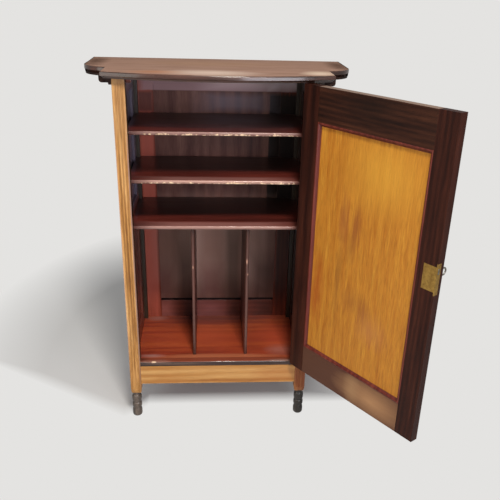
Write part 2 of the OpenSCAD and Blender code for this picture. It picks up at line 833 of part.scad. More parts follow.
// Key, with its bow and collar outside and its bit inside the lock
bow_wire = 4.4;
ward_w = 1.6;
ward_h = 4;
key_collar_l = 3;
bit_y = lock_y0 + 2;
bit_w = lock_t - lock_wall - 4;
module key() color("goldenrod") swung() translate([keyhole_x, 0, keyhole_z]) {
    translate([0, -key_out, 0]) rotate([-90, 0, 0])
        cylinder(h = key_out + door_t - lock_wall - 1, d = key_d);
    translate([0, -escutcheon_t - free_gap, 0]) rotate([90, 0, 0])
        cylinder(h = key_collar_l, d = key_collar_d);
    difference() {
        translate([-bit_t / 2, bit_y, -bit_reach]) cube([bit_t, bit_w, bit_reach]);
        translate([-bit_t, bit_y + (bit_w - ward_w) / 2, -bit_reach - 1])
            cube([2 * bit_t, ward_w, ward_h + 1]);
    }
    translate([0, -key_out - key_bow_r + 3, 0]) rotate([0, 90, 0])
        rotate_extrude() translate([key_bow_r - bow_wire / 2, 0]) circle(d = bow_wire);
}

on_floor() front_left_post();
on_floor() front_right_post();
on_floor() rear_left_post();
on_floor() rear_right_post();
on_floor() front_left_foot();
on_floor() front_right_foot();
on_floor() rear_left_foot();
on_floor() rear_right_foot();
on_floor() top_board();
on_floor() left_cove();
on_floor() right_cove();
on_floor() left_side_stiles();
on_floor() left_side_top_rail();
on_floor() left_side_middle_rail();
on_floor() left_side_bottom_rail();
on_floor() left_upper_panel();
on_floor() left_lower_panel();
on_floor() right_side_stiles();
on_floor() right_side_top_rail();
on_floor() right_side_middle_rail();
on_floor() right_side_bottom_rail();
on_floor() right_upper_panel();
on_floor() right_lower_panel();
on_floor() back_stiles();
on_floor() back_top_rail();
on_floor() back_bottom_rail();
on_floor() back_panel();
on_floor() back_bead();
on_floor() apron();
on_floor() sill();
on_floor() floor_board();
on_floor() lower_shelf();
on_floor() middle_shelf();
on_floor() upper_shelf();
on_floor() left_cleats();
on_floor() right_cleats();
on_floor() left_divider();
on_floor() right_divider();
on_floor() door_stop();
on_floor() strike_plate();
on_floor() door_hinge_stile();
on_floor() door_lock_stile();
on_floor() door_top_rail();
on_floor() door_bottom_rail();
on_floor() door_panel();
on_floor() door_bead_uprights();
on_floor() door_bead_crosses();
on_floor() door_outer_bead_uprights();
on_floor() door_outer_bead_crosses();
on_floor() post_hinge_leaves();
on_floor() door_hinge_leaves();
on_floor() hinge_pins();
on_floor() post_hinge_screws();
on_floor() door_hinge_screws();
on_floor() lock_case();
on_floor() lock_bolt();
on_floor() key_escutcheon();
on_floor() key();
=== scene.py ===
# %% [markdown]
# # A music cabinet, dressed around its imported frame
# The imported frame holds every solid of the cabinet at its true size, on the body that
# carries it. This lesson puts wood, polish and wear on that frame. A shape that the
# frame already has right is kept and gets a finish. A shape that shows age or a
# maker's touch, such as a worn shelf edge or a turned foot, is modelled again by hand.

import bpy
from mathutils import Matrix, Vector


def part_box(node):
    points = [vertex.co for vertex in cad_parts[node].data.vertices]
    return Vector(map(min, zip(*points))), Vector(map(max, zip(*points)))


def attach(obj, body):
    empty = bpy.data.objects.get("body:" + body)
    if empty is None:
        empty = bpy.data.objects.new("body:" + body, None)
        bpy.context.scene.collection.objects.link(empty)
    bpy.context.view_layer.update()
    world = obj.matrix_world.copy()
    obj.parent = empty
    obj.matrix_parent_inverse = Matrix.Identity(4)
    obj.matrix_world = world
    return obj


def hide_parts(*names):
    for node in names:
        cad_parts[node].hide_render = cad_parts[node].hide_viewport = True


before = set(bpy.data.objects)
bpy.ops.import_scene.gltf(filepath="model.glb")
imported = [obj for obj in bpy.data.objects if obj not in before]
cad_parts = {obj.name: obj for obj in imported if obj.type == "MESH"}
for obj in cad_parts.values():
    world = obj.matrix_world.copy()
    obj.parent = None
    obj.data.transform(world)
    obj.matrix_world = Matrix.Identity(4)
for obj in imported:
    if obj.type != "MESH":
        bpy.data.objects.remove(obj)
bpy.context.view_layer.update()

# %% [markdown]
# ## From the maker's drawing to the scene
# The drawing counts in millimetres, with x = 0 in the middle of the cabinet, y = 0 at the
# front of the posts and z = 0 on the floor. The scene counts in metres from under the
# front left foot. Two small functions go from one to the other, so every size below can
# be read off the drawing.

# %% Places
import math

import bmesh
import bpy
from mathutils import Matrix, Vector

POST_X, POST_Y = 253.5, 16.5  # middle of the front right post
DRAWING_TO_FOOT = Vector((POST_X, -POST_Y, 0))


def at(x, y, z):
    """A point of the drawing, in millimetres, as a place in the scene, in metres."""
    return (Vector((x, y, z)) + DRAWING_TO_FOOT) / 1000


def drawn(place):
    """The drawing's millimetres for a place in the scene."""
    return Vector(place) * 1000 - DRAWING_TO_FOOT


print("top of the left post", tuple(round(v, 4) for v in at(-POST_X, POST_Y, 1027)))

# %% [markdown]
# ## The camera
# The picture was taken by someone standing a little left of the middle and looking down.
# Its place, tilt and lens were worked out from the cabinet's own straight edges, so the
# render can be laid over the picture. The small shift only sets the framing.

# %% Camera
lens = bpy.data.cameras.new("viewpoint")
lens.lens = 47.223
lens.sensor_width = 36
lens.shift_x, lens.shift_y = -0.01244, 0.07359
lens.clip_start, lens.clip_end = 0.05, 60
viewpoint = bpy.data.objects.new("viewpoint", lens)
viewpoint.location = (0.22998, -1.74102, 1.25342)
viewpoint.rotation_euler = [math.radians(a) for a in (65.09, -1.487, -3.709)]
bpy.context.scene.collection.objects.link(viewpoint)
bpy.context.scene.camera = viewpoint
bpy.context.scene.view_settings.view_transform = "Standard"
print("camera at", tuple(round(v) for v in drawn(viewpoint.location)), "mm of the drawing")

# %% [markdown]
# ## Colours and nodes
# A colour is written as it looks on a screen, and Blender wants it linear, so one function
# turns it. Another adds a shader node, fills in its settings and links its inputs, which
# keeps the recipes below short.

# %% Colour and node helpers


def srgb(code):
    """Linear colour of an sRGB hex value."""
    parts = [int(code[i:i + 2], 16) / 255 for i in (0, 2, 4)]
    return (*(c / 12.92 if c <= 0.04045 else ((c + 0.055) / 1.055) ** 2.4 for c in parts), 1.0)


def fresh(holder):
    """The emptied node tree of a new material or world."""
    holder.use_nodes = True
    holder.node_tree.nodes.clear()
    return holder.node_tree


def add(tree, kind, links=None, **settings):
    """Adds a node. A setting is a property of the node, an input's name or number, or a ramp's stops."""
    made = tree.nodes.new("ShaderNode" + kind)
    for key, value in settings.items():
        if key == "stops":
            band = made.color_ramp.elements
            while len(band) < len(value):
                band.new(0.5)
            for element, (position, colour) in zip(band, value):
                element.position, element.color = position, colour
        elif hasattr(made, key):
            setattr(made, key, value)
        elif key[:2] == "in":
            made.inputs[int(key[2:])].default_value = value
        else:
            made.inputs[key.replace("_", " ")].default_value = value
    for key, source in (links or {}).items():
        tree.links.new(source, made.inputs[key])
    return made


# %% [markdown]
# ## The floor
# The cabinet stands on a plain pale floor, one wide disc in matt paint. It keeps the
# cabinet's shadow and yet shows no horizon: the camera sees the paint near the cabinet, and
# the flat pale colour of the room further out and well in front.

# %% Floor
PALE = srgb("E4E3E1")
bpy.ops.object.select_all(action="DESELECT")
bpy.ops.mesh.primitive_circle_add(vertices=96, radius=7, fill_type="NGON", location=at(0, 150, 0))
ground = bpy.context.active_object
ground.name = "ground"

paint = bpy.data.materials.new("pale matt floor")
tree = fresh(paint)
place = add(tree, "TexCoord").outputs["Object"]
across, depth = add(tree, "SeparateXYZ", {0: place}).outputs[:2]
# In front, the paint ends along a line that slants back beside the left post
left = add(tree, "MapRange", {"Value": across}, From_Min=-0.225, From_Max=-0.3, To_Max=1.0).outputs["Result"]
slant = add(tree, "Math", {0: across}, operation="MULTIPLY_ADD", in1=0.66, in2=0.262).outputs[0]
edge = add(tree, "Math", {0: left, 1: slant, 2: depth}, operation="MULTIPLY_ADD").outputs[0]
front = add(tree, "MapRange", {"Value": edge}, From_Min=-0.02, From_Max=-0.085).outputs["Result"]
# Everywhere else it ends in a wide oval round the shadow
around = add(tree, "Mapping", {"Vector": place}, Location=(0.13, -0.14, 0), Scale=(0.9, 0.55, 1)).outputs[0]
far = add(tree, "VectorMath", {0: around}, operation="LENGTH").outputs["Value"]
away = add(tree, "MapRange", {"Value": far}, From_Min=0.42, From_Max=0.76).outputs["Result"]
fade = add(tree, "Math", {0: front, 1: away}, operation="MAXIMUM").outputs[0]
seen = add(tree, "Math", {0: fade, 1: add(tree, "LightPath").outputs["Is Camera Ray"]}, operation="MULTIPLY")
matt = add(tree, "BsdfDiffuse", Color=srgb("C4C6C8"))
flat = add(tree, "Emission", Color=PALE)
both = add(tree, "MixShader", {"Fac": seen.outputs[0], 1: matt.outputs[0], 2: flat.outputs[0]})
add(tree, "OutputMaterial", {"Surface": both.outputs[0]})
ground.data.materials.append(paint)
print("floor", tuple(round(v, 1) for v in ground.dimensions))

# %% [markdown]
# ## The room
# Pale walls all round give soft light from everywhere. The camera sees them as pale as the
# far floor, but they light the cabinet a little less, so that the shade inside stays deep.

# %% Room
room = bpy.data.worlds.new("pale room")
bpy.context.scene.world = room
tree = fresh(room)
tint = add(tree, "Mix", {"Factor": add(tree, "LightPath").outputs["Is Camera Ray"]}, data_type="RGBA",
           in6=srgb("B0AEAC"), in7=PALE)
sky = add(tree, "Background", {"Color": tint.outputs[2]}, Strength=1.0)
add(tree, "OutputWorld", {"Surface": sky.outputs[0]})
print("room", room.name)

# %% [markdown]
# ## The lamps
# The shadows tell where the light was. The front strips of the shelves are lit and their
# backs are dark, so the main light stands high in front, a little to the right. A low window
# on the right reaches the back and shines in its polish, but leaves the right end of the
# bays and slots in shade. A weak light on the left opens up the inside of the door.

# %% Lamps


def lamp(name, place, aim, size, watts, colour):
    """A soft lamp, size wide and high in metres, at a place of the drawing, turned towards another."""
    light = bpy.data.lights.new(name, "AREA")
    light.shape, light.size, light.size_y = "RECTANGLE", *size
    light.energy, light.color = watts, srgb(colour)[:3]
    made = bpy.data.objects.new(name, light)
    made.location = at(*place)
    made.rotation_euler = (at(*aim) - made.location).to_track_quat("-Z", "Y").to_euler()
    bpy.context.scene.collection.objects.link(made)
    print("lamp", name, watts, "W")


lamp("high_front", (250, -1650, 2900), (0, 100, 500), (0.45, 0.45), 72, "FFF8EE")
lamp("window", (1050, -2400, 1000), (0, 150, 700), (1.2, 0.9), 24, "F6F6FF")
lamp("left_fill", (-1700, -1500, 1300), (250, -150, 600), (1.4, 1.4), 15, "FFFAF0")

# %% [markdown]
# ## Worn and stained places, and painted light
# Wear and stain lie where hands, music and sun reached, and some of these marks are painted light and shade
# instead. Each is a soft ball or box, placed by the drawing with a half size in millimetres, a tone, and how far it
# covers the wood. The wood's own streaks break up its edge. A box that stops inside a board colours one face and
# leaves the other alone. The door's places are drawn on the closed door.

# %% Worn places and painted light
HINGE = at(237, -4.5, 0)
OPEN = math.radians(124.5)


def on_cabinet(x, y, z, size, tone, cover=0.8, **more):
    """A soft ball on the carcass, for wear and for painted light and shade."""
    return dict(centre=at(x, y, z), size=size, tone=tone, cover=cover, **more)


def boxed(*place, **more):
    """A soft box on the carcass, for stain and for painted light and shade."""
    return on_cabinet(*place, square=True, **more)


def on_door_face(x, y, z, size, tone, cover=0.8, **more):
    """A mark of wear, or of painted light and shade, on the door, drawn on the closed door."""
    return dict(centre=at(x, y, z) - HINGE, size=size, tone=tone, cover=cover, **more)


def lay(tree, place, streaks, colour, centre, size, tone, cover, ragged=0.8, soft=0.5, square=False, grit=0):
    """Lays a worn place, or a patch of painted light or shade, over the colour. Grit is the size of the crumbs of a
    chipped edge.
    """
    ball = add(tree, "Mapping", {"Vector": place}, vector_type="TEXTURE", Location=centre,
               Scale=[s / 1000 for s in size]).outputs[0]
    if square:
        whole = add(tree, "VectorMath", {0: ball}, operation="ABSOLUTE").outputs[0]
        x, y, z = add(tree, "SeparateXYZ", {0: whole}).outputs
        wider = add(tree, "Math", {0: x, 1: y}, operation="MAXIMUM").outputs[0]
        out = add(tree, "Math", {0: wider, 1: z}, operation="MAXIMUM").outputs[0]
    else:
        out = add(tree, "VectorMath", {0: ball}, operation="LENGTH").outputs["Value"]
    if grit:
        streaks = add(tree, "TexNoise", {"Vector": place}, Scale=LUMP / grit, Detail=1).outputs["Fac"]
    rough = add(tree, "Math", {0: streaks, 2: out}, operation="MULTIPLY_ADD", in1=ragged).outputs[0]
    rim = 1 + ragged / 2
    share = add(tree, "MapRange", {"Value": rough}, To_Min=cover, To_Max=0.0, From_Min=rim - soft,
                From_Max=rim).outputs["Result"]
    return add(tree, "Mix", {"Factor": share, 6: colour}, data_type="RGBA", in7=srgb(tone)).outputs[2]


print("hinge line at", tuple(round(v, 4) for v in HINGE))

# %% [markdown]
# ## Wood, in one recipe
# All the wood of this cabinet is figured the same way: growth rings, streaks that run with
# the grain, fine pores and broad uneven patches of stain. Rings are a wave texture round a
# pith that lies outside the board, bent by noise. Streaks and pores are noise drawn out
# along the grain. The polish is a clear coat over a satin ground. Pores finer than a pixel
# of the picture would vanish, so they are drawn about a millimetre wide.

# %% The wood recipe
STRETCH = 0.09  # a streak is about eleven times as long as it is wide
LENGTHWISE = {"X": (STRETCH, 1, 1), "Y": (1, STRETCH, 1), "Z": (1, 1, STRETCH)}
WAVE, LUMP = 314, 1000  # mm from ring to ring, and across a lump, of a texture of scale 1
PORES = 900  # scale of a noise with lumps about 1.1 mm across
VARNISH_IOR = 1.5


def wood(name, tones, along, pith=(60, -90, 0), ring=14, rings=0.1, streak=5, patch=110, patches=0.3,
         pores=0.25, gloss=0.38, polish=0.25, shine=0.4, on_door=False, spots=(), faded_above=None):
    """A polished wood. Sizes are in millimetres; tones go from the darkest to the lightest.

    Above the height faded_above, the polish is gone and the wood is dull, under its spots.
    """
    finish = bpy.data.materials.new(name)
    tree = fresh(finish)
    place = add(tree, "TexCoord").outputs["Object"]
    if on_door:
        place = add(tree, "Mapping", {"Vector": place}, vector_type="TEXTURE", Location=HINGE,
                    Rotation=(0, 0, OPEN)).outputs[0]
    grain = add(tree, "Mapping", {"Vector": place}, Scale=LENGTHWISE[along],
                Location=[p / 1000 for p in pith], Rotation=(0.12, 0.17, 0.1)).outputs[0]
    growth = add(tree, "TexWave", {"Vector": grain}, wave_type="RINGS", rings_direction=along,
                 wave_profile="SIN", Scale=WAVE / ring, Distortion=9, Detail=4, Detail_Scale=0.35,
                 Detail_Roughness=0.7).outputs["Fac"]
    lines = add(tree, "TexNoise", {"Vector": grain}, Scale=LUMP / streak / 3, Detail=7, Roughness=0.72,
                Distortion=0.2).outputs["Fac"]
    broad = add(tree, "TexNoise", {"Vector": grain}, Scale=LUMP / patch * 2, Detail=3,
                Roughness=0.55).outputs["Fac"]
    figure = add(tree, "Math", {0: growth}, operation="MULTIPLY", in1=rings).outputs[0]
    for layer, share in ((broad, patches), (lines, 1 - rings - patches)):
        figure = add(tree, "Math", {0: layer, 2: figure}, operation="MULTIPLY_ADD", in1=share).outputs[0]
    stops = [(0.3 + 0.4 * i / (len(tones) - 1), srgb(tone)) for i, tone in enumerate(tones)]
    colour = add(tree, "ValToRGB", {"Fac": figure}, stops=stops).outputs["Color"]
    fine = add(tree, "Mapping", {"Vector": grain}, Scale=[1 if s == 1 else 0.35 for s in LENGTHWISE[along]])
    open_pores = add(tree, "TexNoise", {"Vector": fine.outputs[0]}, Scale=PORES, Detail=2).outputs["Fac"]
    filled = add(tree, "MapRange", {"Value": open_pores}, From_Min=0.36, From_Max=0.52).outputs["Result"]
    dark_pores = add(tree, "ValToRGB", {"Fac": filled}, stops=[(0, (*[1 - pores] * 3, 1)), (1, (1, 1, 1, 1))])
    colour = add(tree, "Mix", {6: colour, 7: dark_pores.outputs["Color"]}, data_type="RGBA",
                 blend_type="MULTIPLY", Factor=1.0).outputs[2]
    for spot in spots:
        colour = lay(tree, place, lines, colour, **spot)
    rough = add(tree, "MapRange", {"Value": lines}, From_Min=0.25, From_Max=0.75, To_Min=gloss - 0.06,
                To_Max=gloss + 0.1).outputs["Result"]
    relief = add(tree, "Math", {0: filled, 2: figure}, operation="MULTIPLY_ADD", in1=0.6).outputs[0]
    bump = add(tree, "Bump", {"Height": relief}, Strength=0.25, Distance=0.0004).outputs[0]
    skin = add(tree, "BsdfPrincipled", {"Base Color": colour, "Roughness": rough, "Normal": bump},
               IOR=VARNISH_IOR, Coat_Weight=polish, Coat_Roughness=0.12, Specular_IOR_Level=shine)
    if faded_above:
        height = add(tree, "SeparateXYZ", {0: place}).outputs[2]
        high = add(tree, "MapRange", {"Value": height}, From_Min=faded_above / 1000,
                   From_Max=faded_above / 1000 + 0.0006).outputs["Result"]
        dull = add(tree, "BsdfDiffuse", {"Color": colour, "Normal": bump}, Roughness=0.5)
        skin = add(tree, "MixShader", {"Fac": high, 1: skin.outputs[0], 2: dull.outputs[0]})
    add(tree, "OutputMaterial", {"Surface": skin.outputs[0]})
    print("wood", name, "with", len(spots), "worn places")
    return finish


# %% [markdown]
# ## Helpers for modelling by hand
# Each new piece starts as a primitive at its size and place, and is then cut, drawn out and
# bevelled in edit mode. Faces and edges are picked by where they lie on the drawing, and
# every size is in its millimetres.

# %% Choosing


def clear():
    """Leaves edit mode and lets go of everything, because an operator acts on all that is selected."""
    if bpy.context.mode != "OBJECT":
        bpy.ops.object.mode_set(mode="OBJECT")
    bpy.ops.object.select_all(action="DESELECT")


def only(piece):
    """Selects one piece and nothing else."""
    clear()
    piece.select_set(True)
    bpy.context.view_layer.objects.active = piece


def pick(piece, kind, test):
    """In edit mode, selects the corners, edges or faces whose middle, and the direction, pass a test."""
    only(piece)
    bpy.ops.object.mode_set(mode="EDIT")
    bpy.ops.mesh.select_mode(type=kind)
    bpy.ops.mesh.select_all(action="DESELECT")
    mesh = bmesh.from_edit_mesh(piece.data)
    for part in {"VERT": mesh.verts, "EDGE": mesh.edges, "FACE": mesh.faces}[kind]:
        corners = [part.co] if kind == "VERT" else [v.co for v in part.verts]
        middle = drawn(sum(corners, Vector()) / len(corners))
        way = (corners[1] - corners[0]).normalized() if kind == "EDGE" else part.normal
        if test(middle, way):
            part.select_set(True)
    mesh.select_flush_mode()
    bmesh.update_edit_mesh(piece.data)


def done():
    """Leaves edit mode."""
    bpy.ops.object.mode_set(mode="OBJECT")


# %% Shaping


def settle(piece):
    """Puts a primitive's place, turn and size into its mesh."""
    only(piece)
    bpy.ops.object.transform_apply(location=True, rotation=True, scale=True)


def block(name, low, high):
    """A cube primitive that runs between two corners of the drawing."""
    clear()
    middle = [(a + b) / 2 for a, b in zip(low, high)]
    bpy.ops.mesh.primitive_cube_add(size=1, location=at(*middle))
    made = bpy.context.active_object
    made.name = made.data.name = name
    made.scale = [(b - a) / 1000 for a, b in zip(low, high)]
    settle(made)
    return made


def draw_out(x, y, z):
    """Extrudes what is selected."""
    bpy.ops.mesh.extrude_region_move(TRANSFORM_OT_translate={"value": (x / 1000, y / 1000, z / 1000)})


def shift(x, y, z):
    """Moves what is selected."""
    bpy.ops.transform.translate(value=(x / 1000, y / 1000, z / 1000))


def bevel(width, steps, profile=0.5):
    """Bevels the selected edges: round at a profile of 0.5, and hollow well below it."""
    bpy.ops.mesh.bevel(offset=width / 1000, segments=steps, profile=profile, affect="EDGES")


def smooth(angle):
    """Shades the selected piece smooth, except over arrises sharper than this many degrees."""
    bpy.ops.object.shade_smooth_by_angle(angle=math.radians(angle))


def saw(piece, axis, places):
    """Cuts lines across a piece at these places along an axis, without taking anything off."""
    only(piece)
    bpy.ops.object.mode_set(mode="EDIT")
    for p in places:
        bpy.ops.mesh.select_all(action="SELECT")
        point, way = [0, 0, 0], [0, 0, 0]
        point[axis], way[axis] = p, 1
        bpy.ops.mesh.bisect(plane_co=at(*point), plane_no=way)
    done()


def cut(piece, cutter):
    """Takes one shape out of another and throws the cutter away."""
    only(piece)
    hollow = piece.modifiers.new("cut", "BOOLEAN")
    hollow.operation, hollow.object, hollow.solver = "DIFFERENCE", cutter, "EXACT"
    bpy.ops.object.modifier_apply(modifier=hollow.name)
    bpy.data.objects.remove(cutter)


# %% [markdown]
# ## Fitting a piece to the frame
# A new piece rides on the body of the node that it stands for, and names that node, which
# then hides. A piece of the door is drawn on the closed door and swung open about the pins.
# A node that stays keeps its mesh, and gets a finish and two modifiers: one joins its loose
# triangles and one eases its arrises.

# %% Fitting


def swing(piece):
    """Turns a piece drawn on the closed door about the hinge pins to the open door."""
    to_pins = Matrix.Translation(HINGE)
    piece.matrix_world = to_pins @ Matrix.Rotation(OPEN, 4, "Z") @ to_pins.inverted()
    settle(piece)


def fit(piece, finish, body, slot, *nodes):
    """Gives a piece its finish and its body, and hides the nodes that it stands for. The slot is not used."""
    piece.data.materials.clear()
    piece.data.materials.append(finish)
    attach(piece, body)
    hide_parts(*nodes)
    print(piece.name, len(piece.data.polygons), "faces for", *nodes)


def soften(piece, width):
    """Takes the sharpness off every arris, as a maker does with a scrap of sandpaper."""
    soft = piece.modifiers.new("eased", "BEVEL")
    soft.width, soft.segments = width / 1000, 2
    soft.limit_method, soft.angle_limit = "ANGLE", math.radians(35)
    return soft


def keep(finish, width, *names):
    """Keeps nodes of the frame as they are, with eased arrises and a finish."""
    for name in names:
        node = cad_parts[name]
        node.data.materials.clear()
        node.data.materials.append(finish)
        node.modifiers.new("joined", "WELD").merge_threshold = 0.00002
        soften(node, width)
    print("kept", *names)


# %% [markdown]
# ## Golden walnut
# The posts and the apron are light walnut under thin wax: satin, with a straight brown streak. The flutes are
# darker, and hands have rubbed the arrises, which also carry a painted highlight. Painted shade darkens the upper
# ends under the top and beside the door, and the lower end of the right front post, and the inner faces took the
# dark stain of the inside.

# %% Walnut of the posts
inside_stain = boxed(0, 153, 607, (248.3, 149.5, 424), "15100F", 0.95, ragged=0, soft=0.002)
# Painted shade, reddish brown, on the lower end of the right front post under the door.
painted_shade_on_right_leg = on_cabinet(253, 10, 150, (40, 60, 130), "783614", 0.85, ragged=0.3, soft=0.6)
# Painted shade under the top's overhang, over the upper ends of the front posts.
painted_shade_under_top = boxed(0, -2, 1045, (300, 16, 38), "3A2218", 0.92, ragged=0.2, soft=0.5)
# Painted shade on the upper end of the right front post, beside the open door.
painted_shade_beside_door = boxed(253, -2, 1010, (30, 16, 60), "1E110C", 0.92, ragged=0.2, soft=0.2)
# The flutes are darker than the faces between them.
darker_in_flutes = [boxed(side * POST_X + 8 * n, 0.6, 560, (1.7, 2.2, 455), "6A3E16", 0.55, ragged=1.0, soft=0.4)
              for side in (-1, 1) for n in (-1, 0, 1)]
# Rubbed arrises that are also a painted highlight: a pale line on the outer arris and a pinkish brown one on the
# inner arris of each post.
worn_arris_and_painted_highlight = [boxed(side * (POST_X - edge), 0, 560, (wide, 3, 440), tone, cover, ragged=0.9, soft=0.4)
              for side in (-1, 1)
              for edge, wide, tone, cover in ((-15.5, 1.6, "C69A88", 0.55), (15.5, 3, "8E7066", 0.9))]
# Painted shade: a soft darkening of the upper end of the left front post.
painted_shade_on_left_post_top = on_cabinet(-253, 0, 980, (30, 16, 200), "8A6440", 0.65, ragged=0.4, soft=1.0)
post_wood = wood("golden_walnut_posts", ("744A24", "A8763A", "C49256", "DAAE70"), "Z", ring=12, patch=60,
                 pores=0.3, gloss=0.42, polish=0.1,
                 spots=(*worn_arris_and_painted_highlight, *darker_in_flutes, painted_shade_on_left_post_top, painted_shade_under_top, painted_shade_beside_door, painted_shade_on_right_leg, inside_stain))

# %% Walnut of the apron
apron_wood = wood("golden_walnut_rail", ("8C5420", "AA763A", "BA8A50", "C6985C"), "X", pith=(0, 40, -170),
                  ring=26, rings=0.2, streak=7, patches=0.45, patch=70, pores=0.16, gloss=0.4, polish=0.15,
                  spots=(on_cabinet(190, 0, 150, (110, 20, 30), "9C5C28", 0.45, ragged=0.9),
                         on_cabinet(-150, 0, 135, (60, 20, 22), "A46C32", 0.4, ragged=0.9)))

# %% [markdown]
# ## The door's panel
# The panel is a pale satin wood that has gone deep gold under old varnish. The varnish has dulled, so it shines
# little. The fine streaks run upright, and brown marks have bitten in where something leant or dripped against it.
# A pale gold patch high up is a painted highlight, and a dark band under the top bead is a painted shadow.

# %% Varnished panel
# Stains and streaks, and two painted marks: the pale gold patch high up is a painted highlight and the dark band
# under the top bead a painted shadow.
panel_stains_and_painted_light = [on_door_face(x, 16, z, (wide, 7, high), tone, cover, ragged=1.3, soft=0.8)
               for x, z, wide, high, tone, cover in (
    (-45, 850, 150, 120, "D4A038", 0.4), (67, 705, 24, 90, "8A4A26", 0.6), (24, 700, 22, 76, "80421F", 0.6),
    (36, 640, 26, 60, "86501E", 0.5), (73, 540, 16, 150, "80501E", 0.45), (10, 500, 66, 50, "8A5422", 0.35),
    (-28, 478, 36, 50, "80461F", 0.4), (150, 480, 34, 140, "9A4614", 0.6), (60, 830, 80, 70, "A86C20", 0.35),
    (0, 944, 220, 26, "84400E", 0.8), (-60, 440, 70, 60, "A46A44", 0.35))]
panel_wood = wood("varnished_satin_panel", ("96540A", "AE6E20", "BC7E28", "CA9034"), "Z", pith=(-40, 120, 0),
                  ring=34, rings=0.05, streak=3, patches=0.25, patch=120, gloss=0.4, polish=0.0,
                  shine=0.25, on_door=True, spots=panel_stains_and_painted_light)

# %% [markdown]
# ## Black top and feet
# The top was polished nearly black, and its edge still shines like a piano. Sun and use stripped the upper face to
# a dull greyed brown. Over it lie painted reflections: pale patches at the front for the pale room, brown ones, and
# dark ones on the ears. The moulds under it are dull black. The feet are ebonised: a thin black stain on turned
# wood, which shows grey where it has worn. The right front foot is darkened further with painted shade.

# %% Black polish
faded_face = (0, 150, 1047, (420, 260, 3.6))
# Painted reflections on the top's dull face: cream patches at the front for the pale room, brown ones, and dark
# ones on the ears.
painted_reflections_on_top = [on_cabinet(x, y, 1046, (wide, deep, 6), tone, cover, ragged=1.2, soft=0.9)
            for x, y, wide, deep, tone, cover in (
    (-20, 0, 150, 70, "D4C4B8", 0.55), (262, 24, 60, 60, "D8C8B4", 0.6), (-160, 0, 90, 40, "9A6238", 0.5),
    (-20, 200, 260, 90, "94765A", 0.3), (-340, 210, 44, 160, "2A1A14", 0.85), (340, 210, 44, 160, "2A1A14", 0.85))]
cove_wood = wood("dull_black_mould", ("120A08", "1E110D", "2A1A15", "3A2620"), "Y", gloss=0.5, polish=0.0,
                 shine=0.15, pores=0.2)
board_wood = wood("polished_top_with_painted_reflections", ("1A0F0C", "2E1A14", "40261E", "523228"), "X", gloss=0.28,
                  polish=0.7, pores=0.2, patches=0.4, faded_above=1043,
                  spots=(boxed(*faded_face, "9A7E70", 0.68, ragged=0.3, soft=0.1),
                         boxed(*faded_face, "543A30", 0.6, ragged=4, soft=1.3), *painted_reflections_on_top))
foot_wood = wood("ebonised_foot", ("1E1814", "383029", "5A4E46", "86786C"), "Z", streak=4, gloss=0.34,
                 polish=0.3, pores=0.4,
                 spots=(boxed(0, 160, 84, (300, 170, 7), "3A1E18", 0.7, ragged=0.2, soft=0.3),
                        # Painted shade darkens the right front foot.
                        on_cabinet(255, 16, 45, (34, 60, 80), "161310", 0.85, ragged=0.3, soft=0.5)))

# %% [markdown]
# ## Rosewood of the door
# The door's frame is dark rosewood under a dry old polish that hardly shines. Its grain runs along each stile and
# rail. The bottom rail has grown pale where it was kicked and wiped, and a narrow painted highlight lies on it. The
# bead round the panel was stained red, to stand out from both.

# %% Rosewood and red bead
DRY = dict(streak=8, gloss=0.45, polish=0.0, shine=0.15, pores=0.3, on_door=True)
door_wood = wood("dark_rosewood_frame", ("160704", "280E07", "38180E", "4A2416"), "Z", **DRY)
rail_wood = wood("dark_rosewood_rail", ("160906", "2A140C", "3C2014", "52301F"), "X", **DRY, spots=(
    on_door_face(0, 22, 245, (260, 8, 60), "5A3A2C", 0.85, ragged=0.4, soft=0.2, square=True),
    on_door_face(-90, 22, 245, (150, 8, 60), "B0845C", 0.85, ragged=0.5, soft=1.0),
    # A narrow painted highlight on the bottom rail.
    on_door_face(-20, 22, 250, (34, 8, 70), "A8845E", 0.5, ragged=0.7, soft=1.0),
    on_door_face(10, 22, 1000, (120, 8, 60), "120906", 0.6, ragged=0.8, soft=0.9),
    on_door_face(0, 11, 1027, (260, 30, 2.4), "7E6A5E", 0.85, ragged=0.5, soft=0.3, square=True)))
bead_wood = wood("red_bead", ("3A100A", "501A12", "62261C", "78382A"), "Z", streak=4, gloss=0.42, shine=0.35,
                 polish=0.0, pores=0.1, on_door=True)

# %% [markdown]
# ## Mahogany of the floor and sill
# The inside is mahogany under a dark red stain and a thin polish, with a satin glow. The floor of the slots is the
# brightest red, rubbed pale along its front by the albums that slid over it. Painted light lies on it too: brighter
# red in the middle and at the right end, pale painted reflections near three corners, and a dark painted reflection
# of the back along its back. The sill was blackened, and its top has worn to red.

# %% Floor and sill
SATIN = dict(streak=8, polish=0.3)
floor_wear = on_cabinet(0, 28, 200, (238, 20, 30), "A86444", 0.75, ragged=0.9)
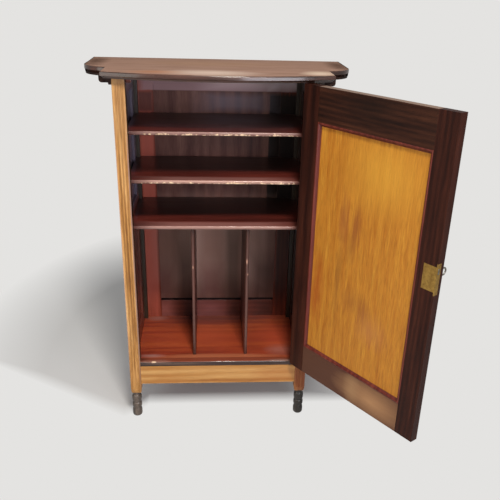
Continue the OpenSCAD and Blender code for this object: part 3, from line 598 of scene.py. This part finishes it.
# Painted light on the floor: pale painted reflections near three corners, a dark painted reflection of the back
# along its back, and brighter red in the middle and at the right end.
painted_light_on_floor = [on_cabinet(x, y, 200, (wide, deep, 6), tone, cover, ragged=1.0, soft=0.8)
               for x, y, wide, deep, tone, cover in (
    (0, 285, 300, 64, "54302C", 0.7), (-205, 285, 40, 24, "A87C74", 0.4), (196, 70, 60, 40, "A87468", 0.5),
    (-205, 36, 50, 14, "A88A84", 0.5), (200, 160, 90, 110, "D85C3E", 0.4), (-60, 160, 240, 80, "CC5A38", 0.35))]
floor_wood = wood("red_mahogany_floor", ("6A2216", "8C3622", "A44828", "B85A34"), "X", pith=(0, 0, 40),
                  ring=24, gloss=0.34, **SATIN, spots=(floor_wear, *painted_light_on_floor))
sill_wood = wood("dark_sill_with_a_worn_red_top", ("1A100E", "2C1C18", "3E2A26", "54403C"), "X", gloss=0.3,
                 polish=0.5, pores=0.2, spots=(
    boxed(0, 14, 201.5, (260, 26, 3), "86402A", 0.9, ragged=0.4, soft=0.2),
    on_cabinet(-130, 0, 191, (140, 5, 7), "84685A", 0.4, ragged=0.9),
    on_cabinet(-190, 2, 200, (60, 12, 4), "8E6C60", 0.5, ragged=1.2),
    on_cabinet(190, 2, 200, (60, 12, 4), "8A746A", 0.5, ragged=1.2),
    on_cabinet(-196, 1, 199, (8, 6, 3), "D8B89A", 0.9, ragged=1.2)))

# %% [markdown]
# ## Mahogany of the shelves and dividers
# The shelves are darker, with painted shade over the back of their tops and a strip of painted light along the
# front of the lower two. Their front edges are rubbed to a pinkish brown, which also stands for a painted
# highlight. On the upper two the lower arris is chipped to pale bare wood, in crumbs of about 7 mm. The dividers
# are browner, with a few bare knocks.

# %% Shelves and dividers
SHELF_TOPS = (626, 758, 890)
UPPER_TWO = SHELF_TOPS[1:]
# Front edges rubbed to a pinkish brown, which is partly a painted highlight.
worn_shelf_fronts_with_painted_highlight = [boxed(0, 26, top - 5, (238, 5, 7), tone, cover, ragged=0.5, soft=0.3)
                for top, tone, cover in zip(SHELF_TOPS, ("A8847A", "C09A8C", "9C7A72"), (0.6, 0.65, 0.65))]
shelf_gaps = [boxed(0, 26, top - 9, (238, 5, 3), "5A2A22", 0.8, ragged=5, soft=1.2, grit=14) for top in UPPER_TWO]
shelf_chips = [on_cabinet(x, 26, top - 8, (wide, 5, 2.2), "E8CCA8", 0.85, ragged=7, soft=1.0, grit=7)
               for top in UPPER_TWO for x, wide in ((-110, 80), (40, 90), (150, 50))]
# Painted shade over the back of each shelf's top.
painted_shade_on_shelf_backs = [boxed(0, 222, top, (250, 100, 5), "2A2624", 0.65, ragged=0.4, soft=0.3) for top in SHELF_TOPS]
# Painted light along the front of the lower two shelves' tops.
painted_light_on_shelf_tops = [boxed(0, 44, top, (250, 26, 4), "9C706A", cover, ragged=0.6, soft=0.5)
               for top, cover in zip(SHELF_TOPS, (0.46, 0.42))]
shelf_wood = wood("dark_mahogany_shelf", ("2E110D", "461A15", "5A241D", "6E3024"), "X", gloss=0.34, **SATIN,
                  spots=(*painted_shade_on_shelf_backs, *painted_light_on_shelf_tops, *worn_shelf_fronts_with_painted_highlight, *shelf_gaps, *shelf_chips))
divider_chips = [on_cabinet(x, 42, z, (3, 4, high), "C89C84", 0.7, ragged=1.6, soft=0.9)
                 for x, z, high in ((-74, 494, 7), (83, 512, 10), (87, 471, 4))]
divider_edges = [boxed(x, 41, 400, (9, 2.5, 215), "8E6A60", 0.15, ragged=0.5, soft=0.4) for x in (-78, 85)]
divider_wood = wood("brown_mahogany_divider", ("28120C", "3A1C15", "4C2820", "5E362C"), "Z", streak=8,
                    gloss=0.4, polish=0.2, spots=(*divider_edges, *divider_chips))

# %% [markdown]
# ## Mahogany of the back and sides
# The inside is coloured unevenly, and much of that colour is painted light and shade. The left wall carries a
# bluish painted reflection above and is brown below. The right wall and the right end of the upper bays are painted
# shade, nearly black. On the back, the left stile is brightened with painted light, the right stile darkened with
# painted shade, and the left stile's upper end darkened with painted shade too. The top rail carries a pale painted
# reflection, and the bottom rail painted light at the left of each slot and painted shade at the right. The panel
# is a plain aged board with long soft marks, most of them painted light and shade, and hardly any polish.

# %% Stains and painted light of the inside
# Painted light brightens the back's left stile.
painted_light_on_left_stile = boxed(-216, 302, 600, (24, 9, 430), "D06A58", 0.75, ragged=0.6, soft=0.3)
# Painted shade darkens the back's right stile.
painted_shade_on_right_stile = boxed(216, 302, 600, (24, 9, 430), "1E0D08", 0.7, ragged=0.4, soft=0.3)
# The inner walls: a bluish painted reflection high on the left wall, brown lower down, and painted shade over the
# right wall.
walls = [boxed(x, 160, z, (11, 144, high), tone, cover, ragged=0.2, soft=0.1)
         for x, z, high, tone, cover in ((-248, 830, 200, "666276", 0.88), (-248, 400, 226, "4A2620", 0.7),
                                         (248, 600, 430, "120B0A", 0.9))]
# Painted shade, nearly black, at the right end of the upper bays.
painted_shade_in_bays = boxed(199, 306, 760, (42, 9, 194), "080504", 0.92, ragged=0.1, soft=0.06)
# Painted shade on the upper end of the back's left stile, in the top bay.
painted_shade_on_stile_top = boxed(-216, 305, 922, (24, 9, 34), "3A1E1C", 0.7, ragged=0.2, soft=0.3)
# A pale pink painted reflection across the back's top rail, brightest at the right.
painted_reflection_on_top_rail = [boxed(x, 303, 992, (wide, 8, 38), tone, cover, ragged=0.1, soft=soft)
             for x, wide, tone, cover, soft in (
    (0, 240, "B68E92", 0.82, 0.1), (120, 190, "E4CACE", 0.78, 0.9), (205, 60, "F0DCE8", 0.8, 0.6))]
# Painted light at the left of the slots and painted shade at their right, on the back's bottom rail.
painted_light_and_shade_on_low_rail = [boxed(x, 302, 230, (wide, 8, 60), tone, cover, ragged=0.4, soft=0.9)
            for x, wide, tone, cover in (
    (-180, 50, "B46C66", 0.5), (-20, 90, "A4686A", 0.4), (-100, 28, "24120E", 0.55), (58, 34, "24120E", 0.5),
    (165, 60, "1E100C", 0.6))]
# Mostly painted light and shade, with some soft stains: pale and red patches where light reaches the back of the
# slots, dark upright bands at the right of each slot for the dividers' shadows, dark bands high in the two lower
# bays, and a bluish grey painted reflection in the top bay.
back_stains_and_painted_light = [boxed(x, 305, z, (wide, 9, high), tone, cover, ragged=0.5, soft=0.8)
               for x, z, wide, high, tone, cover in (
    (0, 446, 230, 200, "E0B8A8", 0.8), (-104, 330, 34, 170, "2A1814", 0.65), (54, 370, 32, 260, "3A2E28", 0.6),
    (60, 922, 150, 34, "8E8494", 0.5), (-20, 500, 54, 170, "A07060", 0.6), (-20, 330, 50, 80, "8A4A46", 0.5),
    (-170, 500, 50, 150, "946452", 0.5), (-176, 320, 36, 80, "7A3E3A", 0.5), (160, 330, 60, 130, "2A1814", 0.6),
    (120, 520, 34, 120, "94705E", 0.5), (0, 690, 200, 60, "2A1A18", 0.4), (0, 820, 200, 60, "2E1C1C", 0.35))]
print("marks and painted light of the back panel", len(back_stains_and_painted_light))

# %% Back and sides
RED = ("4A160D", "6E2A1A", "8A3A24", "A04A2E")
back_wood = wood("aged_back_board", ("4A2C28", "66403A", "7E544A", "966A5C"), "Z", ring=30, streak=12,
                 gloss=0.45, polish=0.08, shine=0.25, spots=(painted_shade_in_bays, *back_stains_and_painted_light))
frame_wood = wood("red_mahogany_frame", RED, "Z", gloss=0.36, **SATIN,
                  spots=(*walls, painted_light_on_left_stile, painted_shade_on_right_stile, painted_shade_in_bays, painted_shade_on_stile_top, *painted_reflection_on_top_rail))
side_wood = wood("red_mahogany_side_rail", RED, "Y", gloss=0.36, **SATIN, spots=walls)
cross_wood = wood("red_mahogany_rail", ("44180F", "5E281E", "74362A", "8A463A"), "X", gloss=0.36, **SATIN,
                  spots=(*painted_reflection_on_top_rail, *painted_light_and_shade_on_low_rail))
lipping_wood = wood("dark_lipping", ("12090A", "1E1012", "2A181A", "3A2426"), "X", streak=8, gloss=0.5,
                    polish=0.0, shine=0.1)

# %% [markdown]
# ## Brass and steel
# The hinges, the lock case, the strike plate and the escutcheon are brass that has gone
# brown in clouds, so it glows more than it shines. The screws are brass too, and the
# lock's bolt and key are dull filed steel.

# %% Metals
CLOUDS = 110  # scale of a noise with lumps about 9 mm across


def metal(name, base, tarnish, gloss):
    """A metal under uneven tarnish. It is duller where the tarnish is thick."""
    finish = bpy.data.materials.new(name)
    tree = fresh(finish)
    place = add(tree, "TexCoord").outputs["Object"]
    bloom = add(tree, "TexNoise", {"Vector": place}, Scale=CLOUDS, Detail=7, Roughness=0.7).outputs["Fac"]
    dull = add(tree, "MapRange", {"Value": bloom}, From_Min=0.36, From_Max=0.68, To_Max=0.8).outputs["Result"]
    colour = add(tree, "Mix", {"Factor": dull}, data_type="RGBA", in6=srgb(base), in7=srgb(tarnish)).outputs[2]
    rough = add(tree, "MapRange", {"Value": dull}, To_Min=gloss, To_Max=gloss + 0.25).outputs["Result"]
    bump = add(tree, "Bump", {"Height": bloom}, Strength=0.1, Distance=0.0002).outputs[0]
    skin = add(tree, "BsdfPrincipled", {"Base Color": colour, "Roughness": rough, "Normal": bump},
               Metallic=1.0)
    add(tree, "OutputMaterial", {"Surface": skin.outputs[0]})
    print("metal", name)
    return finish


brass = metal("aged_brass", "BE9850", "765630", 0.3)
screw_brass = metal("worn_brass_screw", "BE9A58", "5A4022", 0.35)
steel = metal("dull_lock_steel", "A8A49C", "5C564E", 0.35)

# %% [markdown]
# ## Nodes that keep their shape
# Plain framed boards are right as they come. They only need eased arrises, because a real
# arris is never razor sharp and catches a line of light.

# %% Kept nodes
keep(cove_wood, 0.8, "left_cove", "right_cove")
for side in ("left", "right"):
    keep(frame_wood, 1.0, f"{side}_side_stiles", f"{side}_upper_panel", f"{side}_lower_panel")
    keep(side_wood, 1.0, f"{side}_side_top_rail", f"{side}_side_middle_rail", f"{side}_side_bottom_rail",
         f"{side}_cleats")
keep(frame_wood, 1.5, "back_stiles")
keep(cross_wood, 1.5, "back_top_rail", "back_bottom_rail")
keep(lipping_wood, 1.0, "back_bead")
keep(back_wood, 0.5, "back_panel")
keep(apron_wood, 1.0, "apron")
keep(sill_wood, 0.4, "sill")
keep(floor_wood, 1.0, "floor_board")
keep(cross_wood, 1.0, "door_stop")
keep(door_wood, 1.0, "door_hinge_stile", "door_lock_stile")
keep(rail_wood, 1.0, "door_top_rail", "door_bottom_rail")
keep(panel_wood, 0.5, "door_panel")
keep(brass, 0.2, "post_hinge_leaves", "door_hinge_leaves", "hinge_pins", "strike_plate", "lock_case")
keep(steel, 0.3, "lock_bolt")

# %% [markdown]
# ## Corner posts
# A post is one square length of wood. Three shallow flutes run down the front of each front
# post and end in round stops, and every post is drawn in a little where it meets its foot.
# The square length is a cube. Its lower end is pinched in with a resize, its arrises are
# bevelled, and each flute is cut with a long rod: a sphere whose upper half is pulled up.

# %% Posts
POST_IN, POST_OUT, POST_TOP, FOOT_TOP = 237, 270, 1027, 88
POST, DEPTH = POST_OUT - POST_IN, 320
FLUTE_WIDE, FLUTE_DEEP, FLUTE_STEP, FLUTE_STOP = 5.5, 1.8, 8, 16


def flute_rod(x, low, high):
    """The shape of one flute: a rod with round ends, standing part way out of the post."""
    clear()
    radius = FLUTE_WIDE / 2
    bpy.ops.mesh.primitive_uv_sphere_add(segments=24, ring_count=12, radius=radius / 1000,
                                         location=at(x, FLUTE_DEEP - radius, low))
    rod = bpy.context.active_object
    settle(rod)
    pick(rod, "VERT", lambda p, n: p.z > low + 0.1)
    shift(0, 0, high - low)
    done()
    return rod


def corner_post(name, side, front):
    """A corner post: side is -1 at the left and 1 at the right."""
    left, right = sorted((side * POST_IN, side * POST_OUT))
    y = 0 if front else DEPTH - POST
    post = block(name, (left, y, FOOT_TOP), (right, y + POST, POST_TOP))
    saw(post, 2, [FOOT_TOP + 3, FOOT_TOP + 8, FOOT_TOP + 18])
    for height, narrow in ((0, 28), (3, 30), (8, 31.8)):
        pick(post, "VERT", lambda p, n: abs(p.z - FOOT_TOP - height) < 1)
        bpy.ops.transform.resize(value=(narrow / POST, narrow / POST, 1))
    pick(post, "EDGE", lambda p, way: abs(way.z) > 0.9)
    bevel(1.4, 3)
    done()
    if front:
        for number in (-1, 0, 1):
            cut(post, flute_rod((left + right) / 2 + FLUTE_STEP * number, FOOT_TOP + FLUTE_STOP,
                                POST_TOP - FLUTE_STOP))
    smooth(30)
    return post


for row, front in (("front", True), ("rear", False)):
    for hand, side in (("left", -1), ("right", 1)):
        node = f"{row}_{hand}_post"
        fit(corner_post(f"{node}_wood", side, front), post_wood, "carcass", "golden_walnut", node)

# %% [markdown]
# ## Turned feet
# A foot is turned on a lathe: a plain neck, a tall ring, a lower ring and a rounded toe, with
# a sharp quirk between them. It is built the way a turner thinks of it, as one disc after
# another: a filled circle is extruded up to each height and resized to each radius.

# %% A turning


def turned(name, place, axis, discs, corners):
    """A turning along y or z (axis 1 or 2): a filled circle, drawn out to each (radius, distance)."""
    clear()
    radius, along = discs[0]
    start = list(place)
    start[axis] = along
    bpy.ops.mesh.primitive_circle_add(vertices=corners, radius=radius / 1000, fill_type="NGON",
                                      location=at(*start), rotation=(math.pi / 2 if axis == 1 else 0, 0, 0))
    made = bpy.context.active_object
    made.name = made.data.name = name
    settle(made)
    bpy.ops.object.mode_set(mode="EDIT")
    bpy.ops.mesh.select_all(action="SELECT")
    for wider, further in discs[1:]:
        step, grow = [0, 0, 0], [wider / radius] * 3
        step[axis], grow[axis] = further - along, 1
        draw_out(*step)
        bpy.ops.transform.resize(value=grow)
        radius, along = wider, further
    bpy.ops.mesh.select_all(action="SELECT")
    bpy.ops.mesh.normals_make_consistent(inside=False)
    done()
    return made


# %% Feet
RING = (12.4, 13.8, 14.6, 15, 15, 14.6, 13.8, 12.4)
TOE = [(10.5, 0), (12.2, 0.9), (13.8, 2.8), (14.8, 5.6), (15, 9), (15, 18), (14.6, 22.4), (13.5, 26.4)]
NECK = [(11.4, 77.6), (11.0, 80), (11.6, 84.5), (12.6, 87.9)]
rings = []
for low, high in ((29.5, 50), (52, 76)):
    rings += zip(RING, (low, low + 1.6, low + 4, low + 7.5, high - 7.5, high - 4, high - 1.6, high))

for row, y in (("front", POST / 2), ("rear", DEPTH - POST / 2)):
    for hand, x in (("left", -255), ("right", 255)):
        node = f"{row}_{hand}_foot"
        foot = turned(f"{node}_turning", (x, y, 0), 2, TOE + rings + NECK, 40)
        smooth(50)
        fit(foot, foot_wood, "carcass", "dark_turned_wood", node)

# %% [markdown]
# ## The moulded top
# The top is one board with a gently bowed front. Behind the front corners it steps out into
# an ear on each side. It starts as a plain slab. The front is cut into strips, and each
# strip's front is moved out to the bow. The ears are extruded from the sides and cut into
# strips as well, whose fronts are moved back to the round of the ear. The moulding is two
# bevels round the rim: a round nosing above, and below it a hollow.

# %% Slab and bow
TOP_UNDER, TOP_OVER = 1027, 1044
TOP_HALF, TOP_FRONT, TOP_BACK, BOW = 296, -9, 325, 47
EAR, EAR_FRONT, EAR_RADIUS = 65, 83, 80
bow_radius = (TOP_HALF ** 2 + BOW ** 2) / (2 * BOW)

top = block("top_board_polished", (-TOP_HALF, TOP_FRONT, TOP_UNDER), (TOP_HALF, TOP_BACK, TOP_OVER))
strips = [TOP_HALF * i / 14 for i in range(-13, 14)]
saw(top, 1, [EAR_FRONT])
saw(top, 0, strips)
for x in strips:
    pick(top, "VERT", lambda p, n: abs(p.x - x) < 0.5 and p.y < TOP_FRONT + 0.5)
    shift(0, bow_radius - BOW - math.sqrt(bow_radius ** 2 - x ** 2), 0)
print("bow radius", round(bow_radius), "mm")

# %% Ears and moulding
for side in (-1, 1):
    pick(top, "FACE", lambda p, way: way.x * side > 0.9 and p.y > EAR_FRONT)
    draw_out(side * EAR, 0, 0)
ear_middle = TOP_HALF + EAR - EAR_RADIUS
first_turn = math.asin((TOP_HALF - ear_middle) / EAR_RADIUS)
first_drop = EAR_RADIUS * math.cos(first_turn)
turns = [first_turn + (math.pi / 2 - first_turn) * i / 12 for i in range(1, 13)]
saw(top, 0, [side * (ear_middle + EAR_RADIUS * math.sin(turn)) for side in (-1, 1) for turn in turns[:-1]])
for turn in turns:
    x = ear_middle + EAR_RADIUS * math.sin(turn)
    pick(top, "VERT", lambda p, n: abs(abs(p.x) - x) < 0.05 and abs(p.y - EAR_FRONT) < 0.5)
    shift(0, first_drop - EAR_RADIUS * math.cos(turn), 0)
for height, size, steps, profile in ((TOP_OVER, 3.4, 4, 0.5), (TOP_UNDER, 6.5, 5, 0.12)):
    pick(top, "FACE", lambda p, way: abs(way.z) > 0.9 and abs(p.z - height) < 0.5)
    bpy.ops.mesh.region_to_loop()
    bevel(size, steps, profile)
done()
smooth(40)
fit(top, board_wood, "carcass", "polished_top", "top_board")

# %% [markdown]
# ## Worn shelves
# Years of sliding music in and out have rubbed and chipped the shelves' front edges, most of
# all near the middle. Each shelf is cut into short lengths, its front edge is rounded with a
# bevel, and a Displace modifier with a cloud texture roughens only a group of corners along
# the edge. Notches let the board pass the posts.

# %% Roughened edges


def edge_group(piece, name, test, reach=math.inf):
    """Weights the corners that pass a test, fading over the last 40 mm before the reach."""
    group = piece.vertex_groups.new(name=name)
    for corner in piece.data.vertices:
        p = drawn(corner.co)
        if test(p):
            group.add([corner.index], max(0.0, min(1.0, (reach - abs(p.x)) / 40)), "REPLACE")


def roughen(piece, group, depth, grit, mid=0.5):
    """Moves a group of corners in and out by a cloud texture, by depth, in lumps of grit."""
    only(piece)
    cloud = bpy.data.textures.new(group, "CLOUDS")
    cloud.noise_scale, cloud.noise_depth = grit / 1000, 2
    knock = piece.modifiers.new(group, "DISPLACE")
    knock.texture, knock.texture_coords, knock.vertex_group = cloud, "LOCAL", group
    knock.strength, knock.mid_level, knock.direction = depth / 1000, mid, "NORMAL"
    bpy.ops.object.modifier_apply(modifier=knock.name)


# %% Shelves
WALL, BACK, SHELF_FRONT, SHELF_THICK = 248, 302, 27, 10
PLAY = 0.05  # between a notch and its post


def worn_shelf(name, top, chips):
    """A shelf with its top at this height. Chips is how deep the lower front arris is broken."""
    shelf = block(name, (-WALL, SHELF_FRONT, top - SHELF_THICK), (WALL, BACK, top))
    saw(shelf, 0, [-232 + 4 * i for i in range(117)])
    pick(shelf, "EDGE", lambda p, way: abs(way.x) > 0.9 and p.y < SHELF_FRONT + 0.5)
    bevel(3.2, 3)
    done()
    edge_group(shelf, "rubbed", lambda p: p.y < SHELF_FRONT + 4, 236)
    roughen(shelf, "rubbed", 0.9, 26)
    edge_group(shelf, "chipped", lambda p: p.y < SHELF_FRONT + 3 and p.z < top - 5, 210)
    roughen(shelf, "chipped", chips, 7, mid=0.72)
    for side in (-1, 1):
        for low, high in ((-1, POST + PLAY), (DEPTH - POST - PLAY, 330)):
            left, right = sorted((side * (POST_IN - PLAY), side * 260))
            cut(shelf, block("notch", (left, low, top - 20), (right, high, top + 10)))
    smooth(35)
    return shelf


for node, top, chips in zip(("lower_shelf", "middle_shelf", "upper_shelf"), SHELF_TOPS, (1.2, 3.0, 3.4)):
    fit(worn_shelf(f"{node}_worn", top, chips), shelf_wood, "carcass", "worn_shelf", node)

# %% [markdown]
# ## Dividers
# The two uprights are thin boards set in grooves. Their front edges are rounded over and
# knocked here and there, as low as a hand reaches in.

# %% Dividers
FLOOR_TOP, SHELF_UNDER, GROOVE = 200, 616, 3
DIVIDER_FRONT, DIVIDER_THICK = 42, 9


def divider(name, middle):
    """An upright between the floor and the lowest shelf."""
    board = block(name, (middle - DIVIDER_THICK / 2, DIVIDER_FRONT, FLOOR_TOP - GROOVE),
                  (middle + DIVIDER_THICK / 2, BACK, SHELF_UNDER + GROOVE))
    saw(board, 2, [FLOOR_TOP + 2 + 6 * i for i in range(69)])
    pick(board, "EDGE", lambda p, way: abs(way.z) > 0.9 and p.y < DIVIDER_FRONT + 1)
    bevel(2.8, 3)
    done()
    edge_group(board, "knocked", lambda p: p.y < DIVIDER_FRONT + 4 and FLOOR_TOP + 10 < p.z < SHELF_UNDER - 10)
    roughen(board, "knocked", 1.0, 18)
    smooth(35)
    return board


for node in ("left_divider", "right_divider"):
    low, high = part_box(node)
    middle = (drawn(low).x + drawn(high).x) / 2
    fit(divider(f"{node}_board", middle), divider_wood, "carcass", "divider_wood", node)

# %% [markdown]
# ## Beads round the door's panel
# The panel is held by a red stained bead, mitred at the corners like a picture frame. A
# length starts as a square strip on the panel, is rounded on its free arris with a bevel,
# hollowed towards the panel, and sawn off at 45 degrees at both ends.

# %% One length of bead
PANEL_FRONT, PANEL_BACK = 7, 15
BEAD, PROUD = 10, 7  # width of the bead, and how far it stands off the panel


def bead_length(name, start, end, inward, face_out):
    """One mitred length: from start to end along the frame, its width going inward."""
    along = (end - start).normalized()
    y = PANEL_BACK if face_out > 0 else PANEL_FRONT
    free = y + PROUD * face_out
    inner = start + inward * BEAD
    low = [min(start[i], end[i], inner[i]) for i in range(3)]
    high = [max(start[i], end[i], inner[i]) for i in range(3)]
    low[1], high[1] = sorted((y, free))
    strip = block(name, low, high)
    for side, width, steps, profile in ((inner, 6.2, 6, 0.16), (start, 1, 2, 0.5)):
        pick(strip, "EDGE", lambda p, way: abs(way.dot(along)) > 0.9 and abs(p.dot(inward) - side.dot(inward)) < 0.5
             and abs(p.y - free) < 0.5)
        bevel(width, steps, profile)
    for corner, way in ((start, along), (end, -along)):
        bpy.ops.mesh.select_all(action="SELECT")
        bpy.ops.mesh.bisect(plane_co=at(*(corner + way * 0.1)), plane_no=way - inward, clear_inner=True,
                            use_fill=True)
    done()
    smooth(40)
    return strip


# %% Four pairs of beads


def join(name, pieces):
    """Joins pieces into the first of them."""
    only(pieces[0])
    for piece in pieces[1:]:
        piece.select_set(True)
    bpy.ops.object.join()
    pieces[0].name = pieces[0].data.name = name
    return pieces[0]


left_low, left_high, right_low, right_high = [Vector((x, 0, z)) for x in (-180.5, 180.5) for z in (288.5, 938.5)]
uprights = ((left_low, left_high, Vector((1, 0, 0))), (right_low, right_high, Vector((-1, 0, 0))))
crosses = ((left_low, right_low, Vector((0, 0, 1))), (left_high, right_high, Vector((0, 0, -1))))
for node, lengths, face_out in (("door_bead_uprights", uprights, 1), ("door_bead_crosses", crosses, 1),
                                ("door_outer_bead_uprights", uprights, -1),
                                ("door_outer_bead_crosses", crosses, -1)):
    pair = join(f"{node}_moulded", [bead_length(f"{node}_{i}", *length, face_out)
                                    for i, length in enumerate(lengths)])
    swing(pair)
    fit(pair, bead_wood, "door", "red_bead", node)

# %% [markdown]
# ## Slotted screws
# A brass wood screw is a cone for its head, with the shank drawn out of the small end, and a
# slot sawn across. One screw is modelled. The others are copies with the slot at another
# turn, because no joiner stops every screw at the same place.

# %% Screws
HINGE_FEET, HINGE_LONG, LEAF_BACK = (298.5, 866.5), 64, 19  # lower ends, height, back edge of a leaf
POST_FACE, DOOR_FACE = 236.6, 236.1  # where the heads lie on either leaf


def copy_of(piece, name):
    """A copy with its own mesh."""
    twin = piece.copy()
    twin.data = piece.data.copy()
    twin.name = twin.data.name = name
    bpy.context.scene.collection.objects.link(twin)
    return twin


def slotted_screw():
    """One countersunk screw, its head at x, y, z = 0 of the drawing and its shank along x."""
    clear()
    bpy.ops.mesh.primitive_cone_add(vertices=32, radius1=0.0032, radius2=0.0015, depth=0.0016,
                                    location=at(0.8, 0, 0), rotation=(0, math.pi / 2, 0))
    screw = bpy.context.active_object
    settle(screw)
    pick(screw, "FACE", lambda p, way: way.x > 0.9)
    draw_out(9.4, 0, 0)
    draw_out(3, 0, 0)
    bpy.ops.transform.resize(value=(1, 0.35, 0.35))
    done()
    cut(screw, block("slot", (-1, -0.45, -4), (0.7, 0.45, 4)))
    smooth(30)
    return screw


pattern = slotted_screw()
print("screw", len(pattern.data.polygons), "faces")

# %% Twelve screws
to_origin = Matrix.Translation(-at(0, 0, 0))
for node, body, face, turn in (("post_hinge_screws", "carcass", POST_FACE, 0),
                               ("door_hinge_screws", "door", DOOR_FACE, math.pi)):
    screws = []
    for foot_of_hinge in HINGE_FEET:
        for step, deep in ((-1, 0.45), (0, 0.68), (1, 0.45)):
            screw = copy_of(pattern, f"{node}_{len(screws)}")
            place = at(face, LEAF_BACK * deep, foot_of_hinge + HINGE_LONG * (0.5 + 0.36 * step))
            slot_turn = Matrix.Rotation(0.4 + 1.3 * len(screws), 4, "X")
            screw.matrix_world = Matrix.Translation(place) @ Matrix.Rotation(turn, 4, "Z") @ slot_turn @ to_origin
            settle(screw)
            screws.append(screw)
    joined = join(f"{node}_slotted", screws)
    if body == "door":
        swing(joined)
    fit(joined, screw_brass, body, "screw_steel", node)
bpy.data.objects.remove(pattern)

# %% [markdown]
# ## The key
# The key is turned like the feet: a small circle is drawn out along the key and widened into
# two collars. Its bow is a torus, flattened a little as a filed ring is, and its bit is a
# block with a ward sawn in.

# %% Key
KEY_X, KEY_Z = -211.94, 654.5
KEY_TURNING = ((2, -28), (2.5, -27.4), (2.5, -12), (3.2, -11), (3.2, -9.6), (2.5, -8.6), (2.5, -5.2), (4.1, -4.8),
               (4.5, -4.4), (4.5, -2.2), (4.1, -1.8), (2.5, -1.4), (2.5, 18.9), (2, 19.4))

shank = turned("shank", (KEY_X, 0, KEY_Z), 1, KEY_TURNING, 32)
bit = block("bit", (KEY_X - 1.2, 11, KEY_Z - 11), (KEY_X + 1.2, 18.4, KEY_Z - 1))
cut(bit, block("ward", (KEY_X - 3, 13.9, KEY_Z - 12), (KEY_X + 3, 15.5, KEY_Z - 7)))
bpy.ops.object.modifier_apply(modifier=soften(bit, 0.25).name)
smooth(35)
clear()
bpy.ops.mesh.primitive_torus_add(major_segments=40, minor_segments=14, major_radius=0.0088, minor_radius=0.0022,
                                 location=at(KEY_X, -36, KEY_Z), rotation=(0, math.pi / 2, 0))
bow = bpy.context.active_object
settle(bow)
bpy.ops.object.mode_set(mode="EDIT")
bpy.ops.mesh.select_all(action="SELECT")
bpy.ops.transform.resize(value=(0.85, 1, 1), center_override=at(KEY_X, -36, KEY_Z))
done()
key = join("key_turned", [shank, bit, bow])
smooth(40)
swing(key)
fit(key, steel, "key", "dull_steel", "key")

# %% [markdown]
# ## The escutcheon
# The keyhole is dressed with an oval brass plate. A flat cylinder is squeezed to an oval,
# its front is inset three times and sunk inside the rim, and the keyhole is cut with a
# small cylinder and a block.

# %% Escutcheon
clear()
bpy.ops.mesh.primitive_cylinder_add(vertices=56, radius=0.02, depth=0.0015, location=at(KEY_X, -0.75, KEY_Z - 4),
                                    rotation=(math.pi / 2, 0, 0))
plate = bpy.context.active_object
plate.scale = (0.62, 1, 1)
settle(plate)
pick(plate, "FACE", lambda p, way: way.y < -0.9)
for rim in (0.6, 1.2, 0.6):
    bpy.ops.mesh.inset(thickness=rim / 1000)
shift(0, 0.6, 0)
clear()
bpy.ops.mesh.primitive_cylinder_add(vertices=32, radius=0.0035, depth=0.01, location=at(KEY_X, 0, KEY_Z),
                                    rotation=(math.pi / 2, 0, 0))
hole = bpy.context.active_object
settle(hole)
cut(plate, hole)
cut(plate, block("slit", (KEY_X - 1.7, -4, KEY_Z - 12), (KEY_X + 1.7, 3, KEY_Z - 1)))
plate.name = plate.data.name = "key_escutcheon_plate"
smooth(40)
swing(plate)
fit(plate, brass, "door", "aged_brass", "key_escutcheon")
